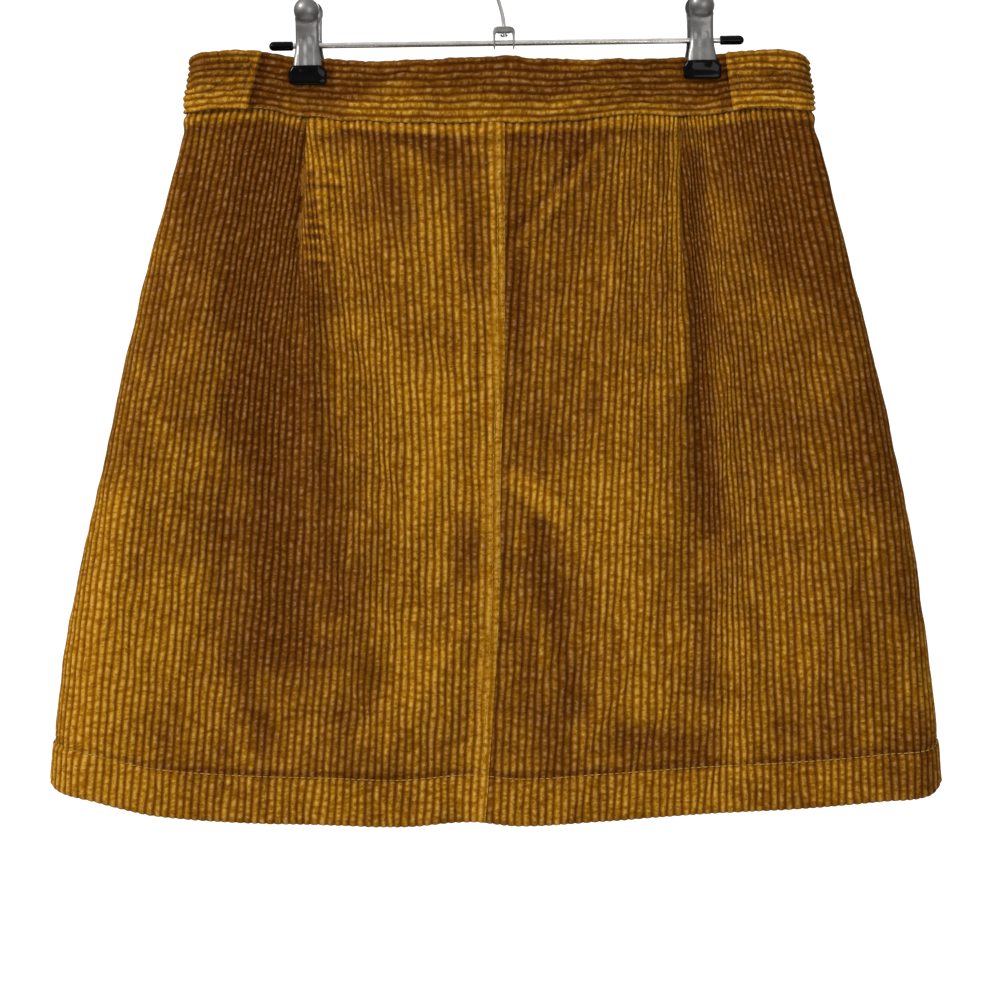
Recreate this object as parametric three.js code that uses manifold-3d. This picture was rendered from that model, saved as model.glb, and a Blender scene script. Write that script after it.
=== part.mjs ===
// An A-line skirt of wide-wale corduroy, hanging by its waistband from a metal clip hanger.
// Millimetres, +Z up. The skirt's back faces -Y and its front +Y, and +X is the wearer's right.
// The origin is the inside top of the hanger's hook, where the hook sits on a rail.

import * as THREE from "three";
import { mergeVertices } from "three/addons/utils/BufferGeometryUtils.js";
import Module from "manifold-3d";

const wasm = await Module();
wasm.setup();

// ---- Driving dimensions of the skirt ----

const WAIST_Z = -100; // the waistband's top edge at the middle
const SEAM_GAP = 0.3; // between pieces that are sewn or pressed together
const BAND_SEAM = 0.45; // between the waistband's lower edge and the panels' upper edges
const BAND_WALL = 3; // corduroy, turned in and doubled
const BAND_PROUD = 0.8; // how far the waistband stands out from the panels' skin
const PANEL_WALL = 2;
const PANEL_TOP = 33; // about how far the panels' upper edge and hem lie below the waist
const PANEL_LOW = 425;
const HEM_DEPTH = 25; // from the hem's fold to its stitch line
const HEM_WALL = 3.8; // two layers where the hem is turned up
const HEM_STEP = 0.5; // half the height of the step at the turned-up edge
const PINCH = { from: 34, gone: 150 }; // between these depths the clips' squeeze fades out
const FOLDS_RISE = { from: 34, full: 70 }; // between these depths the folds grow
const STRIP_WIDTH = 13.4; // the pressed and topstitched strip along the centre-back seam
const STRIP_PROUD = 1.4;
const STRIP_EDGE = 0.8; // how wide the strip's step is
const LAP_WIDTH = 6; // how far the front lap passes the centre line
const LAP_RAMP = { from: 8, to: 12 }; // where the lap comes up over the other panel
const DART_SIDE = 6; // half the width of a dart's trough
const DART_TROUGH = 1.2;
const UNDERLAP = 14; // waistband end that passes under the buttoned end
const OVERLAP = 12;
const UNDERLAP_RAMP = { from: 23, to: 38 }; // where the underlap comes back to the skin
const TAB_RAMP = 20; // length over which a waistband end climbs over the back waistband
const BUTTON = { radius: 9, thick: 3, rim: 0.6, hole: 0.8, holeAt: 1.5 };
const ZIP_TAPE = { from: -13, to: 11, starts: 2, length: 163, wall: 0.8, behind: 0.6 };
const SLIDER = { from: -0.4, width: 7, down: 1, length: 9, wall: 2 };

const BACK = -1;
const FRONT = 1;

// Half-widths of the hanging skirt, at distances below the waist.
const OUTLINE = [
  { below: -6, left: 173.5, right: 170.5 },
  { below: 10, left: 175.3, right: 172.5 },
  { below: 23, left: 177.3, right: 174.2 },
  { below: 38, left: 177.6, right: 175.2 },
  { below: 51, left: 180, right: 178.6 },
  { below: 79, left: 187.5, right: 185.9 },
  { below: 107, left: 195.4, right: 192.6 },
  { below: 163, left: 209, right: 206.6 },
  { below: 219, left: 220.8, right: 219.4 },
  { below: 275, left: 233.2, right: 230.2 },
  { below: 331, left: 244.5, right: 238.2 },
  { below: 387, left: 250.6, right: 244.4 },
  { below: 432, left: 253.6, right: 246.6 },
];

// Half-depth of the skirt at its middle, and how far in from a side the fold's rounding starts.
const DEPTH = [
  { below: 0, half: 7, round: 7 },
  { below: 36, half: 7.4, round: 7.5 },
  { below: 90, half: 11.5, round: 13 },
  { below: 180, half: 16, round: 19 },
  { below: 300, half: 19, round: 23 },
  { below: 432, half: 21.5, round: 26 },
];

// Half-depth of the panels' skin right under the waistband, which the two clips press flat.
const PRESSED = [
  { x: -172, half: 6.2 },
  { x: -140, half: 5.2 },
  { x: -119, half: 2.5 },
  { x: -98, half: 2.5 },
  { x: -60, half: 6.4 },
  { x: 0, half: 7.6 },
  { x: 60, half: 6.6 },
  { x: 101, half: 2.5 },
  { x: 123, half: 2.5 },
  { x: 145, half: 5 },
  { x: 170, half: 6 },
];

// Upper and lower edge of the waistband, below the waist. It sags between the clips.
const BAND_LINE = [
  { x: -177, top: -2.6, bottom: 31.6 },
  { x: -168, top: -4, bottom: 30.2 },
  { x: -140, top: -4.2, bottom: 29 },
  { x: -108, top: -0.8, bottom: 33.2 },
  { x: -57, top: 1.2, bottom: 36.4 },
  { x: 0, top: -1.2, bottom: 36.6 },
  { x: 40, top: 0.6, bottom: 35.4 },
  { x: 74, top: -0.2, bottom: 31.6 },
  { x: 106, top: -1.4, bottom: 32.4 },
  { x: 133, top: -4.4, bottom: 29.2 },
  { x: 160, top: -4.6, bottom: 28.8 },
  { x: 174, top: -2.4, bottom: 29.6 },
];

// The hem's fold, below the waist. It lifts towards the sides as an A-line hem does laid flat.
const HEM_LINE = [
  { x: -253, low: 402 },
  { x: -247, low: 407.4 },
  { x: -236, low: 411.6 },
  { x: -214, low: 417.9 },
  { x: -191, low: 422.7 },
  { x: -150, low: 426 },
  { x: -91, low: 428.4 },
  { x: -57, low: 430 },
  { x: -18, low: 427.6 },
  { x: 10, low: 430 },
  { x: 55, low: 426.8 },
  { x: 111, low: 421.8 },
  { x: 167, low: 418.4 },
  { x: 212, low: 414.4 },
  { x: 234, low: 411.6 },
  { x: 247, low: 402 },
];

// The centre seams: the back one wanders a little to the left as the cloth hangs.
const CENTRE_SEAM = {
  [BACK]: [
    { below: 30, x: 1.7 },
    { below: 150, x: 1.9 },
    { below: 240, x: -0.6 },
    { below: 300, x: -1 },
    { below: 404, x: -7.3 },
    { below: 432, x: -9.6 },
  ],
  [FRONT]: [
    { below: 30, x: 0 },
    { below: 432, x: 3 },
  ],
};

// The dart lines and the soft folds that carry on under their points.
const DART_LINE = {
  [BACK]: [
    { below: 30, left: -109, right: 100 },
    { below: 120, left: -114, right: 102 },
    { below: 190, left: -108.5, right: 105.3 },
    { below: 240, left: -107.5, right: 106.2 },
    { below: 432, left: -116, right: 112 },
  ],
  [FRONT]: [
    { below: 30, left: -98, right: 98 },
    { below: 130, left: -103, right: 102 },
    { below: 432, left: -116, right: 114 },
  ],
};
const DART_LENGTH = { [BACK]: 122, [FRONT]: 100 };

// The largest folds: each is a soft ridge (rise > 0) or trough along a line.
const FOLDS = [
  { face: BACK, x1: -111, below1: 126, x2: -106, below2: 235, wide: 13, rise: 2.2 },
  { face: BACK, x1: -128, below1: 60, x2: -124, below2: 230, wide: 14, rise: -2.4 },
  { face: BACK, x1: 96, below1: 60, x2: 99, below2: 250, wide: 13, rise: 2.2 },
  { face: BACK, x1: 112, below1: 50, x2: 114, below2: 270, wide: 11, rise: -3 },
  { face: BACK, x1: -205, below1: 190, x2: -222, below2: 380, wide: 18, rise: 2.6 },
  { face: BACK, x1: -60, below1: 100, x2: -66, below2: 300, wide: 26, rise: 2.4 },
  { face: BACK, x1: 14, below1: 50, x2: 12, below2: 190, wide: 12, rise: -2.2 },
  { face: BACK, x1: 60, below1: 210, x2: 92, below2: 360, wide: 26, rise: 2.6 },
  { face: BACK, x1: -21, below1: 324, x2: -66, below2: 390, wide: 16, rise: 1.8 },
  { face: BACK, x1: 170, below1: 200, x2: 190, below2: 400, wide: 22, rise: 2.2 },
  { face: FRONT, x1: -100, below1: 110, x2: -108, below2: 300, wide: 18, rise: 2.6 },
  { face: FRONT, x1: 100, below1: 110, x2: 110, below2: 290, wide: 18, rise: 2.4 },
  { face: FRONT, x1: -50, below1: 170, x2: -62, below2: 390, wide: 24, rise: -2 },
  { face: FRONT, x1: 44, below1: 200, x2: 58, below2: 400, wide: 26, rise: -2.2 },
  { face: FRONT, x1: -185, below1: 210, x2: -206, below2: 400, wide: 24, rise: 2.4 },
  { face: FRONT, x1: 182, below1: 180, x2: 200, below2: 390, wide: 24, rise: 2.2 },
];

// Where each sewn-down waistband end stops on the back, at the band's top and bottom edge.
const TAB_EDGE = {
  left: { top: -134.4, bottom: -141.8 },
  right: { top: 125, bottom: 129.2 },
};

// ---- Driving dimensions of the hanger, in its own frame, before it tilts ----

const HANGER_TILT = THREE.MathUtils.degToRad(-0.79); // its right end hangs higher
const BAR_Z = -91.2;
const BAR_RADIUS = 1.6;
const BAR_ENDS = { left: -128, right: 132 };
const CAP = { radius: 2.65, bore: 1.9, left: -131.6, right: 134.4, length: 13.5, wall: 2.2 };
const CLIP_X = { left: -110, right: 110.6 };
const HOOK_RADIUS = 20.1; // of the wire's centre line
const WIRE_RADIUS = 1.1;
const HOOK_TIP = THREE.MathUtils.degToRad(-28);
const HOOK_LEAVES = THREE.MathUtils.degToRad(199); // where the bend runs into the shank
const SHANK_TOP = -74;
const SHANK_BOTTOM = -87.6;
const SHANK_HEAD = { radius: 2.2, height: 1.4, below: 0.2 };
const BRACKET = { width: 12, deep: 6.4, top: -81.8, block: 3.9, low: -94.6, leg: 1.1 };
const BORE_PLAY = 0.3;
const JAW_WALL = 1;
const JAW_BOW = 1; // how far a jaw bulges across its width
const PAD = { radius: 7.15, up: 19, starts: 12, round: 16 }; // the finger pad at a jaw's top
const TIP = { width: 21.3, top: -12.2, low: -22.3, inner: 3.6, deep: 4.4, corner: 2.6, bevel: 0.7 };
const SPRING = { radius: 3.4, length: 9 };

// Half-width of a jaw's plate and the distance of its outer face from the hanger's middle plane.
const JAW = [
  { up: -11.9, half: 8.1, out: 5.9 },
  { up: -7, half: 7.6, out: 5.65 },
  { up: -4, half: 7, out: 5.6 },
  { up: 0, half: 6.6, out: 5.2 },
  { up: 6, half: 6.4, out: 6 },
  { up: 12, half: 6.4, out: 7.8 },
  { up: 19, half: 7.15, out: 9.6 },
  { up: 26.15, half: 1.2, out: 10.4 },
];

const COLOURS = {
  corduroy: { color: 0xa8731c, roughness: 0.95, metalness: 0 },
  button: { color: 0x6b4a22, roughness: 0.4, metalness: 0 },
  tape: { color: 0x9a6a1e, roughness: 0.85, metalness: 0 },
  chrome: { color: 0xd5d7da, roughness: 0.15, metalness: 1 },
  rubber: { color: 0x17181c, roughness: 0.5, metalness: 0 },
};

// ---- Reading the tables ----

// A column's value at a place between rows, on a smooth curve through them that is level where
// the column turns back, so that it never passes a row's highest or lowest value.
function read(table, key, column, at) {
  const last = table.length - 1;
  if (at <= table[0][key]) return table[0][column];
  if (at >= table[last][key]) return table[last][column];
  let i = 0;
  while (at > table[i + 1][key]) i++;
  const slope = (k) => {
    const a = table[Math.max(k - 1, 0)];
    const b = table[Math.min(k + 1, last)];
    const turns = k > 0 && k < last && (table[k][column] - a[column]) * (b[column] - table[k][column]) <= 0;
    return turns ? 0 : (b[column] - a[column]) / (b[key] - a[key]);
  };
  const span = table[i + 1][key] - table[i][key];
  const t = (at - table[i][key]) / span;
  const start = (1 + 2 * t) * (1 - t) ** 2 * table[i][column] + t * (1 - t) ** 2 * span * slope(i);
  const end = t * t * (3 - 2 * t) * table[i + 1][column] + t * t * (t - 1) * span * slope(i + 1);
  return start + end;
}

const ramp = THREE.MathUtils.smoothstep;
const mix = THREE.MathUtils.lerp;
const sideOf = (q) => (q < 0 ? "left" : "right");
const bandTop = (q) => read(BAND_LINE, "x", "top", q);
const bandBottom = (q) => read(BAND_LINE, "x", "bottom", q);
const hemLow = (q) => read(HEM_LINE, "x", "low", q);
const halfWidth = (side, below) => read(OUTLINE, "below", side, below);

// ---- The skirt's skin ----

// How far the large folds and the stitched dart move the skin out.
function foldRise(face, x, below) {
  let rise = 0;
  for (const fold of FOLDS) {
    if (fold.face !== face) continue;
    const dx = fold.x2 - fold.x1;
    const dz = fold.below2 - fold.below1;
    const along = ((x - fold.x1) * dx + (below - fold.below1) * dz) / (dx * dx + dz * dz);
    const t = THREE.MathUtils.clamp(along, 0, 1);
    const away = Math.hypot(x - fold.x1 - t * dx, below - fold.below1 - t * dz) / fold.wide;
    rise += fold.rise * Math.exp(-away * away);
  }
  const dart = read(DART_LINE[face], "below", sideOf(x), below);
  const near = Math.max(0, 1 - Math.abs(x - dart) / DART_SIDE);
  const sewn = 1 - ramp(below, 0.75 * DART_LENGTH[face], DART_LENGTH[face]);
  return (rise - DART_TROUGH * near * sewn) * ramp(below, FOLDS_RISE.from, FOLDS_RISE.full);
}

function halfDepth(x, below) {
  const pressed = read(PRESSED, "x", "half", x);
  const free = read(DEPTH, "below", "half", below);
  return mix(pressed, free, ramp(below, PINCH.from, PINCH.gone));
}

// A point of the skin. q runs across a face from fold to fold: it is x on the face's flat part
// and an angle round the fold past that. inset narrows the ring.
function skinPoint(face, q, below, inset) {
  const width = halfWidth(sideOf(q), below) - inset;
  const round = read(DEPTH, "below", "round", below);
  const past = Math.abs(q) - (width - round);
  let x = q;
  let share = 1;
  if (past > 0) {
    const turn = ((past / round) * Math.PI) / 2;
    x = Math.sign(q) * (width - round + round * Math.sin(turn));
    share = Math.cos(turn);
  }
  const out = halfDepth(x, below) * share + foldRise(face, x, below) * Math.max(share, 0) ** 2;
  return new THREE.Vector3(x, face * out, WAIST_Z - below);
}

// The skin's point moved out by lift along the skin's own normal.
function lifted(face, q, below, lift, inset = 0) {
  const step = 0.4;
  const at = skinPoint(face, q, below, inset);
  const across = skinPoint(face, q + step, below, inset).sub(skinPoint(face, q - step, below, inset));
  const up = skinPoint(face, q, below - step, inset).sub(skinPoint(face, q, below + step, inset));
  const normal = across.cross(up).normalize().multiplyScalar(-face);
  return at.addScaledVector(normal, lift);
}

// ---- Making solids ----

function turnedOut(geometry) {
  const p = geometry.getAttribute("position");
  const index = geometry.index.array;
  const corner = (k) => new THREE.Vector3().fromBufferAttribute(p, index[k]);
  let volume = 0;
  for (let i = 0; i < index.length; i += 3) {
    volume += corner(i).dot(corner(i + 1).cross(corner(i + 2)));
  }
  if (volume < 0) {
    for (let i = 0; i < index.length; i += 3) {
      [index[i + 1], index[i + 2]] = [index[i + 2], index[i + 1]];
    }
  }
  return geometry;
}

// A closed wall between an outer and an inner grid of points, with rims along its four edges.
function wall(columns, rows, outer, inner) {
  const across = columns.length;
  const down = rows.length;
  const positions = [];
  for (const layer of [outer, inner]) {
    for (const row of rows) {
      for (const column of columns) positions.push(...layer(column, row).toArray());
    }
  }
  const id = (layer, i, j) => (layer * down + j) * across + i;
  const index = [];
  const quad = (a, b, c, d) => index.push(a, b, c, a, c, d);
  for (let j = 0; j + 1 < down; j++) {
    for (let i = 0; i + 1 < across; i++) {
      quad(id(0, i, j), id(0, i + 1, j), id(0, i + 1, j + 1), id(0, i, j + 1));
      quad(id(1, i, j), id(1, i, j + 1), id(1, i + 1, j + 1), id(1, i + 1, j));
    }
  }
  for (let i = 0; i + 1 < across; i++) {
    quad(id(0, i + 1, 0), id(0, i, 0), id(1, i, 0), id(1, i + 1, 0));
    quad(id(0, i, down - 1), id(0, i + 1, down - 1), id(1, i + 1, down - 1), id(1, i, down - 1));
  }
  for (let j = 0; j + 1 < down; j++) {
    quad(id(0, 0, j), id(0, 0, j + 1), id(1, 0, j + 1), id(1, 0, j));
    quad(id(0, across - 1, j + 1), id(0, across - 1, j), id(1, across - 1, j), id(1, across - 1, j + 1));
  }
  const geometry = new THREE.BufferGeometry();
  geometry.setAttribute("position", new THREE.Float32BufferAttribute(positions, 3));
  geometry.setIndex(index);
  return turnedOut(geometry);
}

const steps = (from, to, count) => Array.from({ length: count + 1 }, (_, i) => mix(from, to, i / count));

function solidOf(geometry) {
  const bare = new THREE.BufferGeometry();
  bare.setAttribute("position", geometry.getAttribute("position").clone());
  if (geometry.index) bare.setIndex(geometry.index.clone());
  const merged = mergeVertices(bare, 1e-4);
  const vertProperties = merged.getAttribute("position").array;
  return new wasm.Manifold(new wasm.Mesh({ numProp: 3, vertProperties, triVerts: merged.index.array }));
}

function geometryOf(solid) {
  const made = solid.getMesh();
  const geometry = new THREE.BufferGeometry();
  geometry.setAttribute("position", new THREE.BufferAttribute(made.vertProperties, 3));
  geometry.setIndex(new THREE.BufferAttribute(made.triVerts, 1));
  return geometry;
}

function piece(name, geometry, finish) {
  const mesh = new THREE.Mesh(geometry, new THREE.MeshStandardMaterial(COLOURS[finish]));
  mesh.name = name;
  return mesh;
}

// ---- The four panels ----

// The columns of a half panel run from the centre seam to the side seam and follow the dart.
// A column is { from, to, t, offset }: a place t of the way between two guide lines.
function panelColumns(edgeOffsets) {
  const columns = edgeOffsets.map((offset) => ({ from: "seam", to: "dart", t: 0, offset }));
  for (const t of steps(0.14, 0.86, 5)) columns.push({ from: "seam", to: "dart", t, offset: 0 });
  for (const offset of [-DART_SIDE, 0, DART_SIDE]) {
    columns.push({ from: "dart", to: "side", t: 0, offset });
  }
  for (const t of [0.2, 0.4, 0.6, 0.74, 0.84, 0.92, 0.97]) {
    columns.push({ from: "dart", to: "side", t, offset: 0 });
  }
  columns.push({ from: "side", to: "side", t: 0, offset: -SEAM_GAP / 2 });
  return columns;
}

// The rows of a panel run from under the waistband to the hem's fold, with a step at the hem.
const PANEL_ROWS = [
  ...[0, 0.05, 0.11, 0.18, 0.26, 0.34, 0.43, 0.53, 0.64, 0.76, 0.89].map((v) => {
    return { v, hem: 0, step: 0 };
  }),
  { v: 1, hem: 0, step: -HEM_STEP },
  { v: 1, hem: 0, step: HEM_STEP },
  { v: 1, hem: 0.5, step: 0 },
  { v: 1, hem: 1, step: 0 },
];

// raised tells how far the panel lies above the skin at a distance from the centre seam. It is
// either solid down to the panel's inner face, as a folded seam is, or one layer that is lifted.
function panel(name, face, side, edgeOffsets, raised, solid) {
  const sign = side === "left" ? -1 : 1;
  const guide = (line, below) => {
    if (line === "seam") return read(CENTRE_SEAM[face], "below", "x", below);
    if (line === "dart") return read(DART_LINE[face], "below", side, below);
    return sign * halfWidth(side, below);
  };
  const across = (column, below) =>
    mix(guide(column.from, below), guide(column.to, below), column.t) + sign * column.offset;
  const place = (column, row, depth) => {
    const top = bandBottom(across(column, PANEL_TOP)) + BAND_SEAM;
    const stitch = hemLow(across(column, PANEL_LOW)) - HEM_DEPTH;
    const below = mix(top, stitch, row.v) + row.hem * HEM_DEPTH + row.step;
    const q = across(column, below);
    const rise = raised(sign * (q - guide("seam", below)));
    return lifted(face, q, below, rise - depth(rise));
  };
  const layers = (row) => (row.hem > 0 || row.step > 0 ? HEM_WALL : PANEL_WALL);
  const single = (row, rise) => (rise > 0 ? PANEL_WALL : layers(row));
  const outer = (column, row) => place(column, row, () => 0);
  const inner = (column, row) =>
    place(column, row, (rise) => (solid ? rise + layers(row) : single(row, rise)));
  return piece(name, wall(panelColumns(edgeOffsets), PANEL_ROWS, outer, inner), "corduroy");
}

function skirtPanels() {
  const flat = () => 0;
  const halfGap = SEAM_GAP / 2;
  const strip = (d) => STRIP_PROUD * (1 - ramp(d, STRIP_WIDTH, STRIP_WIDTH + STRIP_EDGE));
  const stripEdges = [halfGap, STRIP_WIDTH, STRIP_WIDTH + STRIP_EDGE];
  const lap = (d) => (PANEL_WALL + SEAM_GAP) * (1 - ramp(d, LAP_RAMP.from, LAP_RAMP.to));
  const lapEdges = [-LAP_WIDTH, 0, LAP_RAMP.from, LAP_RAMP.to];
  return [
    panel("back_panel_left", BACK, "left", stripEdges, strip, true),
    panel("back_panel_right", BACK, "right", [halfGap], flat, true),
    panel("front_panel_left", FRONT, "left", [1], flat, true),
    panel("front_panel_right", FRONT, "right", lapEdges, lap, false),
  ];
}

// ---- The waistband ----

const BAND_INSET = BAND_WALL + SEAM_GAP; // the ends wrap round the outside of this narrower ring
const BAND_MIDDLE = 15; // about the band's middle, below the waist
const BAND_ROWS = steps(0, 1, 3);
const BACK_BAND_END = 1.2; // where the back waistband stops, short of the side fold
const bandBelow = (q, v) => mix(bandTop(q), bandBottom(q), v);

function bandPoint(face, q, v, lift) {
  return lifted(face, q, bandBelow(q, v), lift, BAND_INSET);
}

// Where the narrower ring turns from the front to the back.
function bandEnd(side, v) {
  const edge = side === "left" ? -1 : 1;
  const below = bandBelow(edge * halfWidth(side, BAND_MIDDLE), v);
  return edge * (halfWidth(side, below) - BAND_INSET);
}

function waistbandBack() {
  const columns = steps(-1, 1, 48);
  const reach = (t, v) => t * (Math.abs(bandEnd(sideOf(t), v)) - BACK_BAND_END);
  const place = (t, v, lift) => bandPoint(BACK, reach(t, v), v, lift);
  const outer = (t, v) => place(t, v, BAND_PROUD);
  const inner = (t, v) => place(t, v, BAND_PROUD - BAND_WALL);
  return piece("waistband_back", wall(columns, BAND_ROWS, outer, inner), "corduroy");
}

// One half of the front waistband. It starts at the buttoned centre front, runs to the side,
// turns round the fold and lies on the back waistband as a sewn-down tab.
function waistbandFront(name, side, start, lapLift) {
  const sign = side === "left" ? -1 : 1;
  const onFront = steps(0, 1, 22).map((t) => ({ face: FRONT, t }));
  const onFold = [0.25, 0.5, 0.75].map((t) => ({ face: FRONT, t: 1, fold: t }));
  const onBack = [0.75, 0.5, 0.25].map((t) => ({ face: BACK, t: 1, fold: t }));
  const tab = steps(0, 1, 5).map((t) => ({ face: BACK, t }));
  const round = read(DEPTH, "below", "round", BAND_MIDDLE);
  const place = (column, v, depth) => {
    const end = bandEnd(side, v);
    const flatEnd = end - sign * round;
    if (column.fold !== undefined) {
      const q = mix(flatEnd, end, column.fold);
      return bandPoint(column.face, q, v, tabLift - depth);
    }
    if (column.face === BACK) {
      const edge = mix(TAB_EDGE[side].top, TAB_EDGE[side].bottom, v);
      return bandPoint(BACK, mix(flatEnd, edge, column.t), v, tabLift - depth);
    }
    const q = mix(start, flatEnd, column.t);
    const climb = ramp(sign * q, sign * flatEnd - TAB_RAMP, sign * flatEnd);
    return bandPoint(FRONT, q, v, mix(BAND_PROUD + lapLift(sign * q), tabLift, climb) - depth);
  };
  const tabLift = BAND_PROUD + BAND_INSET;
  const columns = [...onFront, ...onFold, { face: FRONT, t: 1, fold: 1 }, ...onBack, ...tab];
  const outer = (column, v) => place(column, v, 0);
  const inner = (column, v) => place(column, v, BAND_WALL);
  return piece(name, wall(columns, BAND_ROWS, outer, inner), "corduroy");
}

function waistbands() {
  const { from, to } = UNDERLAP_RAMP;
  const under = (d) => -(BAND_WALL + SEAM_GAP) * (1 - ramp(d, from, to));
  const over = () => 0;
  return [
    waistbandBack(),
    waistbandFront("waistband_front_a", "left", UNDERLAP, under),
    waistbandFront("waistband_front_b", "right", -OVERLAP, over),
  ];
}

// ---- The fastening at the centre front ----

function button() {
  const { radius, thick, rim, hole, holeAt } = BUTTON;
  const disc = new THREE.Shape().absarc(0, 0, radius - rim, 0, 2 * Math.PI);
  for (const [x, y] of [[-1, -1], [-1, 1], [1, -1], [1, 1]]) {
    disc.holes.push(new THREE.Path().absarc(holeAt * x, holeAt * y, hole, 0, 2 * Math.PI, true));
  }
  const geometry = new THREE.ExtrudeGeometry(disc, {
    depth: thick - 2 * rim,
    bevelThickness: rim,
    bevelSize: rim,
    bevelSegments: 1,
    curveSegments: 6,
  });
  const mesh = piece("waist_button", geometry, "button");
  const below = bandBelow(0, 0.5);
  mesh.rotation.x = -Math.PI / 2;
  mesh.position.copy(lifted(FRONT, 0, below, BAND_PROUD + SEAM_GAP + rim));
  return mesh;
}

function zip() {
  const top = bandBottom(0) + ZIP_TAPE.starts;
  const outside = -PANEL_WALL - ZIP_TAPE.behind;
  const tape = wall(
    steps(ZIP_TAPE.from, ZIP_TAPE.to, 3),
    steps(top, top + ZIP_TAPE.length, 12),
    (q, below) => lifted(FRONT, q, below, outside),
    (q, below) => lifted(FRONT, q, below, outside - ZIP_TAPE.wall),
  );
  const seat = outside + SEAM_GAP;
  const slider = wall(
    steps(SLIDER.from, SLIDER.from + SLIDER.width, 2),
    steps(top + SLIDER.down, top + SLIDER.down + SLIDER.length, 2),
    (q, below) => lifted(FRONT, q, below, seat + SLIDER.wall),
    (q, below) => lifted(FRONT, q, below, seat),
  );
  return [piece("zip_tape", tape, "tape"), piece("zip_slider", slider, "chrome")];
}

// ---- The hanger ----

function bar() {
  const length = BAR_ENDS.right - BAR_ENDS.left;
  const rod = new THREE.CylinderGeometry(BAR_RADIUS, BAR_RADIUS, length, 12);
  const mesh = piece("hanger_bar", rod, "chrome");
  mesh.rotation.z = Math.PI / 2;
  mesh.position.set((BAR_ENDS.left + BAR_ENDS.right) / 2, 0, BAR_Z);
  return mesh;
}

// A blind cap over the bar's end, turned round the bar's axis.
function barCap(name, tipX, direction) {
  const { radius, bore, length, wall: thick } = CAP;
  const tip = [[0, 0], [1.5, 0.3], [radius, 1.5]];
  const tube = [[radius, length], [bore, length], [bore, thick], [0, thick]];
  const profile = [...tip, ...tube].map(([r, along]) => new THREE.Vector2(r, along));
  const mesh = piece(name, turnedOut(indexed(new THREE.LatheGeometry(profile, 12))), "rubber");
  mesh.rotation.z = (-direction * Math.PI) / 2;
  mesh.position.set(tipX, 0, BAR_Z);
  return mesh;
}

// Only positions, with shared vertices merged, so that the surface is closed.
function indexed(geometry) {
  const bare = new THREE.BufferGeometry();
  bare.setAttribute("position", geometry.getAttribute("position").clone());
  if (geometry.index) bare.setIndex(geometry.index.clone());
  return mergeVertices(bare, 1e-4);
}

function hook() {
  const path = new THREE.CurvePath();
  const centreZ = WIRE_RADIUS - HOOK_RADIUS;
  const onBend = (angle) =>
    new THREE.Vector3(HOOK_RADIUS * Math.cos(angle), 0, centreZ + HOOK_RADIUS * Math.sin(angle));
  const bend = steps(HOOK_TIP, HOOK_LEAVES, 24).map(onBend);
  const shank = [
    new THREE.Vector3(-14.2, 0, -38),
    new THREE.Vector3(-8.4, 0, -52),
    new THREE.Vector3(-3.8, 0, -64),
    new THREE.Vector3(-0.9, 0, SHANK_TOP),
    new THREE.Vector3(0, 0, BRACKET.top),
  ];
  const curve = new THREE.CatmullRomCurve3([...bend, ...shank], false, "centripetal");
  path.add(curve);
  path.add(new THREE.LineCurve3(shank[4], new THREE.Vector3(0, 0, SHANK_BOTTOM)));
  const section = new THREE.Shape().absarc(0, 0, WIRE_RADIUS, 0, 2 * Math.PI);
  const wire = new THREE.ExtrudeGeometry(section, { extrudePath: path, steps: 64, curveSegments: 5 });
  const head = new THREE.CylinderGeometry(SHANK_HEAD.radius, SHANK_HEAD.radius, SHANK_HEAD.height, 16);
  head.rotateX(Math.PI / 2);
  head.translate(0, 0, SHANK_BOTTOM + SHANK_HEAD.height / 2 - SHANK_HEAD.below);
  return piece("hanger_hook", geometryOf(solidOf(wire).add(solidOf(head))), "chrome");
}

// An upside-down U of plate: the hook turns in its top, and the bar runs through both legs.
function bracket() {
  const { width, deep, top, block, low, leg } = BRACKET;
  const outer = new THREE.Shape();
  outer.moveTo(-width / 2, low);
  outer.lineTo(-width / 2, top);
  outer.lineTo(width / 2, top);
  outer.lineTo(width / 2, low);
  outer.lineTo(width / 2 - leg, low);
  outer.lineTo(width / 2 - leg, top - block);
  outer.lineTo(-width / 2 + leg, top - block);
  outer.lineTo(-width / 2 + leg, low);
  const plate = new THREE.ExtrudeGeometry(outer, { depth: deep, bevelEnabled: false });
  plate.rotateX(Math.PI / 2);
  plate.translate(0, deep / 2, 0);
  const drill = (radius, length) =>
    new THREE.CylinderGeometry(radius + BORE_PLAY, radius + BORE_PLAY, length, 12);
  const barBore = drill(BAR_RADIUS, 2 * width);
  barBore.rotateZ(Math.PI / 2);
  barBore.translate(0, 0, BAR_Z);
  const wireBore = drill(WIRE_RADIUS, 3 * block);
  wireBore.rotateX(Math.PI / 2);
  wireBore.translate(0, 0, top);
  const cut = solidOf(plate).subtract(solidOf(barBore)).subtract(solidOf(wireBore));
  return piece("hanger_bracket", geometryOf(cut), "chrome");
}

// A pressed jaw: a plate that bulges across its width, with a round finger pad at its top.
function jaw(face) {
  const top = PAD.up + PAD.radius;
  const onPad = [0.25, 0.5, 0.75, 0.9, 1].map((t) => mix(PAD.starts, top, t));
  const rows = [...steps(JAW[0].up, PAD.starts, 7), ...onPad];
  const half = (up) => {
    if (up < PAD.round) return read(JAW, "up", "half", up);
    return Math.sqrt(Math.max(PAD.radius ** 2 - (up - PAD.up) ** 2, 1));
  };
  const place = (t, up, depth) => {
    const out = read(JAW, "up", "out", up) - JAW_BOW * t * t - depth;
    return new THREE.Vector3(t * half(up), face * out, up);
  };
  const outer = (t, up) => place(t, up, 0);
  const inner = (t, up) => place(t, up, JAW_WALL);
  return wall(steps(-1, 1, 6), rows, outer, inner);
}

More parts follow.
